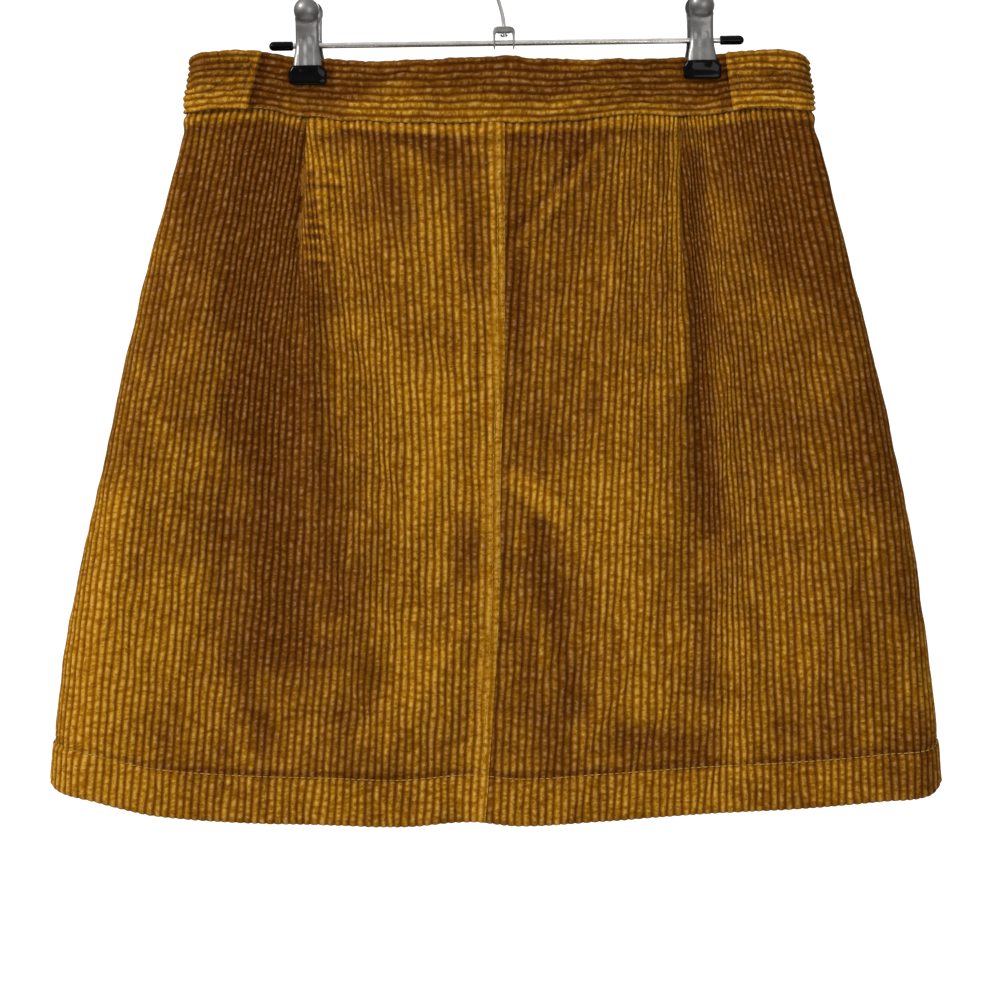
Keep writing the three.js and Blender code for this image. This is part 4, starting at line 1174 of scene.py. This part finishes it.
def thread_piece(name, rows, finish=THREAD):
    """One mesh from several stitch rows."""
    points, quads, caps, base = [], [], [], 0
    for row_points, row_quads, row_caps in rows:
        points.append(row_points)
        quads.append(row_quads + base)
        caps.append(row_caps + base)
        base += len(row_points)
    return put(name, np.vstack(points), [np.vstack(quads), np.vstack(caps)], finish)


def on_skin(face, q, below, lift, inset=0.0):
    """A line of places lifted off the skin, with its normals."""
    q, below = np.broadcast_arrays(np.asarray(q, float), np.asarray(below, float))
    low = lifted(face, q, below, np.full(q.shape, lift), inset)
    high = lifted(face, q, below, np.full(q.shape, lift + 1), inset)
    return low, high - low


print("a stitch is a capsule of", len(STITCH_TURNS) * len(STITCH_STEPS), "points")

# %% Sew the seams
def line_points(ends, count=60):
    (x1, b1), (x2, b2) = ends
    t = np.linspace(0, 1, count)
    return mix(x1, x2, t), mix(b1, b2, t)


def band_thread(face, low_q, high_q, base, up=1.5):
    q = np.linspace(low_q, high_q, 400)
    return stitch_row(*on_skin(face, q, BAND_LOW(q) - up, base, BAND_INSET), 3.0, 0.45, 0.5)


for face, tag in ((BACK, "back"), (FRONT, "front")):
    q = np.linspace(-248, 241, 900)
    hem = stitch_row(*on_skin(face, q, hem_stitch(q), 0.02), 3.5, 0.55, 0.62)
    thread_piece("hem_stitches_" + tag, [hem])

down = np.linspace(38, 400, 600)
strip_q = SEAM_X[BACK](down) - STRIP_STITCH
thread_piece("seam_stitches_back", [stitch_row(*on_skin(BACK, strip_q, down, 1.3), 3.4, 0.7, 0.5)])
bars = [on_skin(BACK, np.linspace(-11.3, -6.5, 20), STRIP_BAR + k * 0.45, 0.85) for k in (-1, 0, 1)]
thread_piece("seam_bar_stitches", [stitch_row(*bar, 4.4, 0.1, 0.5) for bar in bars], SHADED_THREAD)
thread_piece("band_stitches_back", [band_thread(BACK, -139, 126, BAND_PROUD - 0.1)])
for side, tag in ((-1, "left"), (1, "right")):
    tab_lift = BAND_PROUD + BAND_INSET - 1.05
    rows = [stitch_row(*on_skin(BACK, *line_points(line), tab_lift, BAND_INSET), 2.8, 0.5, 0.5)
            for line in TAB_LINES[side]]
    rows.append(band_thread(BACK, side * 146, side * 170, BAND_PROUD + BAND_INSET - 0.1))
    start = 40 if side < 0 else -11
    rows.append(band_thread(FRONT, side * start, side * 150, BAND_PROUD - 0.1))
    thread_piece("tab_stitches_" + tag, rows, SHADED_THREAD)
print("hem, strip, band and tabs are stitched")

# %% [markdown]
# The front's lap is held by a fly stitched in two rows that run down and curve to the seam. The
# curve is a quarter of an oval, joined to the straight part where both run straight down.

# %% Sew the fly
FLY_WIDE = 26.0
fly_down = np.linspace(38, 172, 200)
fly_turn = np.linspace(0, math.pi / 2, 60)
fly_q = np.concatenate([np.full(200, FLY_WIDE), FLY_WIDE - FLY_WIDE * (1 - np.cos(fly_turn))])
fly_below = np.concatenate([fly_down, 172 + 28 * np.sin(fly_turn)])
rows = [stitch_row(*on_skin(FRONT, fly_q + shift, fly_below, 0.35), 3.2, 0.5, 0.55) for shift in (0, -2.6)]
fly = thread_piece("fly_stitches", rows)
print(fly.name, len(fly.data.vertices), "points")

# %% [markdown]
# The hanger is bright plated steel with soft black ends. Plated parts look grey on a bright day:
# they mirror a room that is mostly darker than its lamps, and fine scratches blur what they mirror.

# %% Hanger finishes
def plated_finish(name, tone, rough, coat):
    f = Finish(name)
    place = f.place()
    haze = f.noise(place, 140.0, 4.0, 0.65)
    grain = f.noise(f.scaled(place, (2600.0, 2600.0, 140.0)), 1.0, 2.0, 0.6)
    spots = f.noise(place, 900.0, 2.0, 0.5).between(0.62, 0.72)
    light, dark, spot = [(tone * k, tone * k * 0.98, tone * k * 0.94, 1) for k in (1.1, 0.85, 0.55)]
    colour = f.blend(f.blend(light, dark, haze.between(0.35, 0.7)), spot, spots * 0.4)
    rough = rough + haze * 0.14 + spots * 0.1
    return f.surface(Base_Color=colour, Metallic=1.0, Roughness=rough,
                     Coat_Weight=coat, Coat_Roughness=0.07, Normal=f.bump(grain, 0.05, 0.0002))


def rubber_finish():
    f = Finish("hanger_rubber")
    place = f.place()
    bloom, grain = f.noise(place, 120.0, 3.0, 0.6), f.noise(place, 2400.0, 2.0, 0.6)
    colour = f.blend((0.0008, 0.0007, 0.0009, 1), (0.0025, 0.0023, 0.0026, 1), bloom.between(0.45, 0.75))
    return f.surface(Base_Color=colour, Roughness=0.1 + bloom * 0.16,
                     Coat_Weight=0.13, Coat_Roughness=0.03, Normal=f.bump(grain, 0.05, 0.0002),
                     Specular_IOR_Level=0.05)


PLATED = plated_finish("hanger_metal", 0.21, 0.42, 0.5)
BRIGHT = plated_finish("hanger_metal_bright", 0.72, 0.12, 0.0)
RUBBER = rubber_finish()
print("hanger finishes:", [finish.name for finish in (PLATED, BRIGHT, RUBBER)])

# %% [markdown]
# Nearly all of the hanger is made from rings: a closed mesh is a pile of rings with a cap on each
# end. A wire is rings of one size along a path, and a bent plate is rings of rounded rectangles.

# %% Rings, tubes and the hanger's tilt
HANGER_TILT = math.radians(-0.79)
BAR_Z = -91.2
ACROSS_Y = np.array([0, 1.0, 0])


def tilted(points):
    """From the hanger's own frame, where its bar is level, to the skirt's."""
    x, y, z = np.moveaxis(np.asarray(points, float), -1, 0)
    c, s = math.cos(HANGER_TILT), math.sin(HANGER_TILT)
    return np.stack([x * c + z * s, y, -x * s + z * c], -1)


def ringed(rings):
    """A closed mesh from rings of points: neighbours are joined, and both ends are capped."""
    rings = np.asarray(rings, float)
    count, around, _ = rings.shape
    ids = np.arange(count * around).reshape(count, around)
    nxt = np.roll(ids, -1, axis=1)
    quads = np.stack([ids[:-1], nxt[:-1], nxt[1:], ids[1:]], -1).reshape(-1, 4)
    first, last = count * around, count * around + 1
    low = np.stack([nxt[0], ids[0], np.full(around, first)], -1)
    high = np.stack([ids[-1], nxt[-1], np.full(around, last)], -1)
    points = np.vstack([rings.reshape(-1, 3), rings[0].mean(0), rings[-1].mean(0)])
    return points, [quads, np.vstack([low, high])]


def directions(path):
    ahead = np.gradient(np.asarray(path, float), axis=0)
    return ahead / np.linalg.norm(ahead, axis=1, keepdims=True)


def in_plane(x, z):
    """Points of the plane y = 0."""
    x, z = np.broadcast_arrays(np.asarray(x, float), np.asarray(z, float))
    return np.stack([x, 0 * x, z], -1)


def tube(path, radii, around=20):
    """A round tube of varying radius along a path of points in the plane y = 0."""
    up = np.cross(directions(path), ACROSS_Y)
    turns = full_turn(around)
    return ringed([
        c + r * (np.cos(turns)[:, None] * ACROSS_Y + np.sin(turns)[:, None] * u)
        for c, u, r in zip(path, up, np.broadcast_to(radii, len(path)))
    ])


def rounded_ends(along, radius, bevel):
    """The radius along a rod whose two ends are rounded over by bevel."""
    from_end = np.minimum(along - along[0], along[-1] - along) / bevel
    return radius - bevel * rounding(from_end, 0.0001)


print("hanger tilt", round(math.degrees(HANGER_TILT), 2), "degrees")

# %% Bar
BAR_RADIUS = 1.6
bar_x = np.concatenate([np.linspace(-128, -127, 6), np.linspace(-126, 131, 60), np.linspace(131.2, 132, 6)])
points, faces = tube(in_plane(bar_x, BAR_Z), rounded_ends(bar_x, BAR_RADIUS, 0.5), 24)
put("bar_rod", tilted(points), faces, BRIGHT, ["hanger_bar"])
print("bar", bar_x[-1] - bar_x[0], "mm long")

# %% Caps on the bar's ends
CAP_RADIUS = 2.65
for letter, tip, way in (("a", -131.6, 1), ("b", 134.4, -1)):
    along = np.concatenate([np.linspace(0, 2.6, 10), np.linspace(3, 12.6, 8), np.linspace(12.8, 13.5, 5)])
    ball = np.sqrt(np.maximum(CAP_RADIUS ** 2 - (CAP_RADIUS - along) ** 2, 0.01))
    radii = np.where(along < CAP_RADIUS, ball, CAP_RADIUS)
    radii -= 0.5 * ramp(along, 12.6, 13.5) ** 2 + 0.12 * hump(along, 10.8, 0.5)
    points, faces = tube(in_plane(tip + way * along, BAR_Z), radii, 28)
    put("cap_" + letter, tilted(points), faces, RUBBER, ["bar_cap_" + letter])
print("a cap is", along[-1], "mm long")

# %% Hook
WIRE_RADIUS, HOOK_RADIUS = 1.1, 20.1
SHANK = [(-14.2, 0, -38), (-8.4, 0, -52), (-3.8, 0, -64), (-0.9, 0, -74), (0, 0, -81.8), (0, 0, -87.4)]
angles = np.radians(np.linspace(-28, 199, 70))
bend_z = WIRE_RADIUS - HOOK_RADIUS + HOOK_RADIUS * np.sin(angles)
knots = np.vstack([in_plane(HOOK_RADIUS * np.cos(angles), bend_z), SHANK])
travelled = lengths_along(knots)
at = np.linspace(0, travelled[-1], 220)
hook_path = np.stack([curve(travelled, knots[:, k])(at) for k in range(3)], -1)
points, faces = tube(hook_path, rounded_ends(at, WIRE_RADIUS, 0.9), 20)
put("hook_wire", tilted(points), faces, BRIGHT, ["hanger_hook"])
print("hook's wire", round(float(travelled[-1])), "mm long")

# %% Rivet head under the hook
rivet_z = [-87.9, -87.8, -87.4, -86.9, -86.5, -86.3, -86.28]
rivet_radii = [0.4, 1.3, 1.9, 2.2, 2.1, 1.7, 0.5]
points, faces = tube(in_plane(0, rivet_z), rivet_radii, 28)
put("hook_rivet", tilted(points), faces, BRIGHT)
print("rivet head", 2 * max(rivet_radii), "mm wide")

# %% [markdown]
# The bracket is a strip of plate bent into an upside-down U. A bent strip is a run of flat
# sections: the middle line turns two corners, and every section is a rounded rectangle.

# %% Bracket
BRACKET_WIDE = 6.2
LEG = [(-5.45, -94.4), (-5.45, -92.6), (-5.45, -90.2), (-5.45, -88.2), (-5.45, -86.4), (-5.3, -84.9),
       (-4.6, -84.0), (-3.4, -83.8)]
LEG_THICK = [0.5, 1.0, 1.1, 1.1, 1.3, 2.2, 3.2, 3.7]
ROOF, ROOF_THICK = [(-1.5, -83.8), (0, -83.8), (1.5, -83.8)], 3.8


def squared(turns, power):
    """A circle's cosine and sine pushed out towards the corners of a square."""
    c, s = np.cos(turns), np.sin(turns)
    return np.sign(c) * np.abs(c) ** power[0], np.sign(s) * np.abs(s) ** power[1]


def bent_strip(line, wide, thick, around=24):
    """A plate strip along a line in the plane y = 0: wide across y, thick across the line."""
    up = np.cross(directions(line), ACROSS_Y)
    x, y = squared(full_turn(around), (0.4, 0.4))
    return ringed([
        p + x[:, None] * ACROSS_Y * (wide / 2) + y[:, None] * u * t / 2
        for p, u, t in zip(line, up, thick)
    ])


outline = np.vstack([LEG, ROOF, np.array(LEG)[::-1] * [-1, 1]])
thickness = LEG_THICK + [ROOF_THICK] * len(ROOF) + LEG_THICK[::-1]
points, faces = bent_strip(in_plane(outline[:, 0], outline[:, 1]), BRACKET_WIDE, thickness)
put("bracket_strip", tilted(points), faces, PLATED, ["hanger_bracket"])
print("bracket", len(points), "points")

# %% [markdown]
# A clip is two pressed jaws on a coil spring. Each jaw is one thin plate: a round domed pad for
# the finger, a neck, then flutes that stiffen it down to the soft tip. Its mesh is a pile of thin
# sections, each going across the outside and back along the inside.

# %% Sections of a jaw
PAD_UP, PAD_RADIUS, JAW_WALL = 19, 7.15, 1
PAD_FROM, PAD_FULL = 14.5, 16.5
JAW_UP = [-13.5, -11.9, -7, -4, 0, 6, 12, 19, 26.15]
JAW_HALF = curve(JAW_UP, [8.2, 8.1, 7.6, 7, 6.6, 6.4, 6.4, 7.15, 1.2])
JAW_OUT = curve(JAW_UP, [5.9, 5.9, 5.65, 5.6, 5.2, 6, 7.8, 9.6, 10.4])
ACROSS = np.linspace(-1, 1, 33)


def jaw_half(up):
    """Half the plate's width: its neck's own curve, which runs into the pad's round rim."""
    rim = math.sqrt(max(PAD_RADIUS ** 2 - (up - PAD_UP) ** 2, 0.02))
    if up >= PAD_FULL:
        return rim
    return float(mix(JAW_HALF(min(up, PAD_FROM)), rim, ramp(up, PAD_FROM, PAD_FULL)))


def jaw_section(face, up):
    x = ACROSS * jaw_half(up)
    out = JAW_OUT(up) - 0.5 * ACROSS ** 2 - 0.9 * ACROSS ** 8
    dome = np.clip(1 - (x ** 2 + (up - PAD_UP) ** 2) / PAD_RADIUS ** 2, 0, 1)
    out = out + 3.2 * dome ** 0.8 - 0.5 * hump(up, 12.4, 1.3) * (1 - ACROSS ** 2)
    flute = hump(x, 0, 1.1) - 0.8 * hump(np.abs(x), 2.6, 1.1) + 0.9 * hump(np.abs(x), 4.6, 1.0)
    out = out + (0.22 * flute - 0.2) * (1 - ramp(up, 2.5, 6.0))
    thick = 0.35 + 0.65 * ramp(1 - np.abs(ACROSS), 0, 0.12)
    outer = np.stack([x, face * out, np.full_like(x, up)], -1)
    inner = np.stack([x, face * (out - JAW_WALL * thick), np.full_like(x, up)], -1)
    return np.vstack([outer, inner[::-1]])


print("a jaw is", 2 * jaw_half(0), "mm wide at the bar")

# %% [markdown]
# The shoe is a soft moulded block pushed on to the plate's end, so it has rounded edges all round
# and shows the plate's flutes faintly. The spring is a wire wound round the bar between the jaws.

# %% Sections of a shoe, and the spring
SHOE_TOP, SHOE_LOW, SHOE_OUT = -11.6, -22.3, 5.7
JAW_SHIFT = 1.5
COIL = dict(radius=2.75, length=7.6, wire=0.55, turns=6)


def tip_section(face, up):
    """The soft shoe: a rounded block, wider than the plate it is pushed on to."""
    wide = float(mix(9.0, 10.65, ramp(SHOE_TOP - up, 0, 4)))
    shrink = 2.4 * rounding((up - SHOE_LOW) / 2.6) + 0.9 * rounding(SHOE_TOP - up)
    turns = full_turn(56)
    x, y = squared(turns, (0.42, 0.55))
    x = (wide - shrink) * x
    y = (2.2 - 0.45 * shrink + 0.55 * ramp(up, -18, -13)) * y
    flute = np.cos(x * 2.2) * ramp(up, -17, -13) * (np.sin(turns) > 0.3) * (np.abs(x) < 6)
    return np.stack([x, face * (SHOE_OUT + y + 0.35 * flute), np.full_like(x, up)], -1)


def coil(radius, length, wire, turns):
    t = np.linspace(0, 1, int(turns * 28))
    angle = 2 * math.pi * turns * t
    out = np.stack([0 * t, np.cos(angle), np.sin(angle)], -1)
    path = radius * out + np.stack([(t - 0.5) * length, 0 * t, 0 * t], -1)
    side = np.cross(directions(path), out)
    around = full_turn(12)
    return ringed([c + wire * (np.cos(around)[:, None] * o + np.sin(around)[:, None] * s)
                   for c, o, s in zip(path, out, side)])


print("a shoe is", round(SHOE_TOP - SHOE_LOW, 1), "mm high")

# %% Put the clips on the bar
pad_rim = PAD_UP + PAD_RADIUS * np.sin(np.radians([66, 72, 78, 83, 87, 89.5]))
jaw_ups = np.concatenate([np.linspace(-13.5, 12, 44), np.linspace(12.4, 25, 30), pad_rim])
shoe_top = np.linspace(-12.5, -11.62, 6)
tip_ups = np.concatenate([np.linspace(-22.28, -19.6, 8), np.linspace(-19, -12.8, 12), shoe_top])
for letter, side in (("a", -1), ("b", 1)):
    clip, middle = f"clip_{letter}_", np.array([CLIP_X[side], 0, BAR_Z])
    for face, tag in ((BACK, "back"), (FRONT, "front")):
        jaw_middle = middle - [side * JAW_SHIFT * (face == FRONT), 0, 0]
        points, faces = ringed([jaw_section(face, up) for up in jaw_ups])
        put(f"jaw_{letter}_{tag}", tilted(points + jaw_middle), faces, PLATED,
            [clip + "jaw_" + tag])
        points, faces = ringed([tip_section(face, up) for up in tip_ups])
        put(f"shoe_{letter}_{tag}", tilted(points + middle), faces, RUBBER,
            [clip + "tip_" + tag])
    points, faces = coil(**COIL)
    put("spring_" + letter, tilted(points + middle), faces, PLATED, [clip + "spring"])
print("clips at", CLIP_X)

# %% [markdown]
# The front fastens with a four-hole resin button that looks like horn. It would be turned on a
# lathe: a dished middle, a rounded rim, then four drilled holes. Each quarter is made as rings that
# widen from its own hole to the edges of the quarter, and the other three quarters mirror it. A
# cross of thread sews it on. Behind the lap, the zip's woven tape and its slider keep the frame's
# own shapes and only get a finish.

# %% Finishes of the button and the zip
def horn_finish():
    f = Finish("button_horn")
    place = f.place()
    figure = f.noise(f.scaled(place, (330.0, 200.0, 90.0)), 1.0, 4.0, 0.6)
    scuffs = f.noise(place, 1500.0, 2.0, 0.6)
    colour = f.blend((0.03, 0.012, 0.005, 1), (0.17, 0.08, 0.03, 1), figure.between(0.38, 0.66))
    return f.surface(Base_Color=colour, Roughness=0.2 + scuffs * 0.3, Normal=f.bump(scuffs, 0.05, 0.0002))


def tape_finish():
    f = Finish("zip_tape")
    place = f.place()
    across = f.noise(f.scaled(place, (2200.0, 300.0, 500.0)), 1.0, 1.0, 0.5)
    along = f.noise(f.scaled(place, (500.0, 300.0, 1700.0)), 1.0, 1.0, 0.5)
    weave = across * 0.5 + along * 0.5
    colour = f.blend((0.10, 0.045, 0.012, 1), (0.19, 0.09, 0.02, 1), weave.between(0.4, 0.6))
    return f.surface(Base_Color=colour, Roughness=0.85, Normal=f.bump(weave, 0.4, 0.0004))


def brass_finish():
    f = Finish("zip_metal")
    place = f.place()
    tarnish, grain = f.noise(place, 260.0, 4.0, 0.6), f.noise(place, 2400.0, 2.0, 0.6)
    colour = f.blend((0.55, 0.37, 0.14, 1), (0.26, 0.17, 0.07, 1), tarnish.between(0.4, 0.7))
    return f.surface(Base_Color=colour, Metallic=1.0, Roughness=0.26 + tarnish * 0.2,
                     Normal=f.bump(grain, 0.06, 0.0002))


HORN, TAPE, BRASS = horn_finish(), tape_finish(), brass_finish()
print("small finishes:", HORN.name, TAPE.name, BRASS.name)

# %% Shape of the button
BUTTON_RADIUS, BUTTON_HALF, HOLE_AT, HOLE_RADIUS = 9.0, 1.5, 1.5, 0.8
BUTTON_LIFT, RIM_ROUND = 2.6, 1.4
QUARTER_STEPS = np.array([0, 3, 8, 16, 28, 40, 52, 64, 75, 83, 89, 93, 96, 98, 99.3, 100]) / 100


def button_height(x, y, up):
    r = np.hypot(x, y)
    past_rim = np.clip((r - BUTTON_RADIUS + RIM_ROUND) / RIM_ROUND, 0, 1)
    dish = 0.75 * (1 - ramp(r, 4.4, 6.3)) if up else 0.25 * ramp(r, 3, 8)
    from_hole = np.hypot(np.abs(x) - HOLE_AT, np.abs(y) - HOLE_AT)
    at_hole = 0.14 * hump(from_hole, HOLE_RADIUS, 0.22)
    return (BUTTON_HALF - at_hole - dish) * np.sqrt(np.clip(1 - past_rim ** 2, 0, 1))


def button_quarter():
    """Rings in the quarter x, y > 0, from the hole to the quarter's edges."""
    corner = math.atan2(-HOLE_AT, BUTTON_RADIUS - HOLE_AT)
    corners = [corner % (2 * math.pi), math.pi / 2 - corner, math.pi * 1.25]
    turns = np.unique(np.concatenate([full_turn(56), corners]))
    c, s = np.cos(turns), np.sin(turns)
    b = HOLE_AT * (c + s)
    reach = -b + np.sqrt(b * b + BUTTON_RADIUS ** 2 - 2 * HOLE_AT ** 2)
    for part in (c, s):
        reach = np.minimum(reach, np.where(part < -1e-9, -HOLE_AT / np.minimum(part, -1e-9), np.inf))
    far = HOLE_RADIUS + (reach - HOLE_RADIUS) * QUARTER_STEPS[:, None]
    return np.stack([HOLE_AT + far * c, HOLE_AT + far * s], -1)


print("a quarter of the button has", button_quarter().shape[1], "points in each ring")

# %% Join the button's quarters
def button_mesh():
    """Both faces and the walls of the holes, four quarters mirrored and joined."""
    quarter = button_quarter()
    rings, around, _ = quarter.shape
    points, quads = [], []
    ids = np.arange(rings * around).reshape(rings, around)
    nxt = np.roll(ids, -1, axis=1)
    for mx, my in ((1, 1), (-1, 1), (-1, -1), (1, -1)):
        x, y = mx * quarter[..., 0].ravel(), my * quarter[..., 1].ravel()
        start = sum(map(len, points))
        top = np.stack([x, y, button_height(x, y, True)], -1)
        low = np.stack([x, y, -button_height(x, y, False)], -1)
        points += [top, low]
        flip = slice(None, None, mx * my)
        sheet = np.stack([ids[:-1], ids[1:], nxt[1:], nxt[:-1]], -1).reshape(-1, 4)
        hole = np.stack([ids[0], nxt[0], nxt[0] + ids.size, ids[0] + ids.size], -1)
        quads += [(part + start)[:, flip] for part in (sheet, (sheet + ids.size)[:, ::-1], hole)]
    joined, index = np.unique(np.round(np.vstack(points), 5), axis=0, return_inverse=True)
    quads = index.ravel()[np.vstack(quads)]
    corners = np.array([len(set(q)) for q in quads])
    triangles = [list(dict.fromkeys(q)) for q in quads[corners == 3]]
    return joined, [quads[corners == 4], np.array(triangles, int).reshape(-1, 3)]


def on_button(points):
    """From the button's own frame, its face along its third axis, to the front band."""
    below = (BAND_TOP(0) + BAND_LOW(0)) / 2
    middle = lifted(FRONT, np.zeros(1), np.full(1, below), np.full(1, BUTTON_LIFT))[0]
    x, y, z = np.moveaxis(np.asarray(points, float), -1, 0)
    return np.stack([middle[0] - x, middle[1] + z, middle[2] + y], -1)


points, faces = button_mesh()
put("sewn_button", on_button(points), faces, HORN, ["waist_button"])
print("button", 2 * BUTTON_RADIUS, "mm across,", len(points), "points")

# %% Sew the button on
STRAND = 0.24
across = np.linspace(-1, 1, 24)
loop = in_plane(HOLE_AT * math.sqrt(2) * across, 1.25 - 2.3 * np.abs(across) ** 5)
crossing = []
for turn in (45, 135):
    for shift in (-STRAND, STRAND):
        points, faces = tube(loop + [0, 0, 0.12 * (turn > 90)], STRAND, 10)
        c, s = math.cos(math.radians(turn)), math.sin(math.radians(turn))
        x, y, z = points[:, 0], points[:, 1] + shift, points[:, 2]
        crossing.append((on_button(np.stack([x * c - y * s, x * s + y * c, z], -1)), faces))
counts = np.concatenate([[0], np.cumsum([len(p) for p, _ in crossing])])
faces = [np.vstack([f[k] + n for (_, f), n in zip(crossing, counts)]) for k in (0, 1)]
put("button_thread", np.vstack([p for p, _ in crossing]), faces, THREAD)
print("strands through the button:", len(crossing))

# %% Finish the zip
for node, slot, finish in (("zip_tape", "zip_tape", TAPE), ("zip_slider", "zip_metal", BRASS)):
    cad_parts[node].data.materials.clear()
    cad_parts[node].data.materials.append(finish)
print("zip finished with", TAPE.name, "and", BRASS.name)

# %% [markdown]
# The skirt hangs clear of a plain pale floor, against white. Daylight comes from the upper left, so
# the key lamp is there, a broad weak one fills from the lower right and one lights the far side.
# What the camera sees behind the skirt is pure white, but what lights and is mirrored is dimmer and
# fades towards the ground, as a room does. Otherwise the plated clips would be white too.

# %% Floor
FLOOR_Z, FLOOR_RADIUS = -1.65, 1.1
stage_finish = Finish("studio_floor").surface(Base_Color=(0.9, 0.9, 0.9, 1), Roughness=0.9)
floor_mesh = bpy.data.meshes.new("studio_floor")
rim = [(FLOOR_RADIUS * math.cos(a), FLOOR_RADIUS * math.sin(a), FLOOR_Z) for a in full_turn(96)]
floor_mesh.from_pydata(rim, [], [tuple(range(len(rim)))])
floor_mesh.materials.append(stage_finish)
floor = bpy.data.objects.new("studio_floor", floor_mesh)
bpy.context.scene.collection.objects.link(floor)
print("floor", 2 * FLOOR_RADIUS, "m across")

# %% Sky
BACKDROP, ROOM = 1.2, 0.8
sky = Finish("studio", bpy.data.worlds)
generated = sky.node("ShaderNodeTexCoord", out="Generated")
height = sky.node("ShaderNodeSeparateXYZ", values=[generated], out="Z")
fade = sky.node("ShaderNodeMapRange", values=[height, -0.7, 0.9, 0.12, 1.0])
lit = sky.node("ShaderNodeBackground", values={"Color": fade, "Strength": ROOM})
seen = sky.node("ShaderNodeBackground", values={"Color": (1, 1, 1, 1), "Strength": BACKDROP})
is_camera = sky.node("ShaderNodeLightPath", out="Is Camera Ray")
both = sky.node("ShaderNodeMixShader", values=[is_camera, lit, seen])
bpy.context.scene.world = sky.ended(both, "ShaderNodeOutputWorld")
print("sky nodes:", len(sky.tree.nodes))

# %% Lamps
AIM = (0, 0, -0.3)


def area_light(name, place, size, power):
    data = bpy.data.lights.new(name, "AREA")
    data.shape, data.size, data.energy = "DISK", size, power
    made = bpy.data.objects.new(name, data)
    made.location = place
    made.rotation_euler = (Vector(AIM) - Vector(place)).to_track_quat("-Z", "Y").to_euler()
    bpy.context.scene.collection.objects.link(made)


area_light("key", (-1.9, -1.5, 0.75), 0.8, 48)
area_light("fill", (0.9, -2.4, -0.7), 1.6, 18.5)
area_light("rear", (0.8, 2.2, 0.9), 1.4, 26)
bpy.context.scene.view_settings.view_transform = "Standard"
print("lights placed")
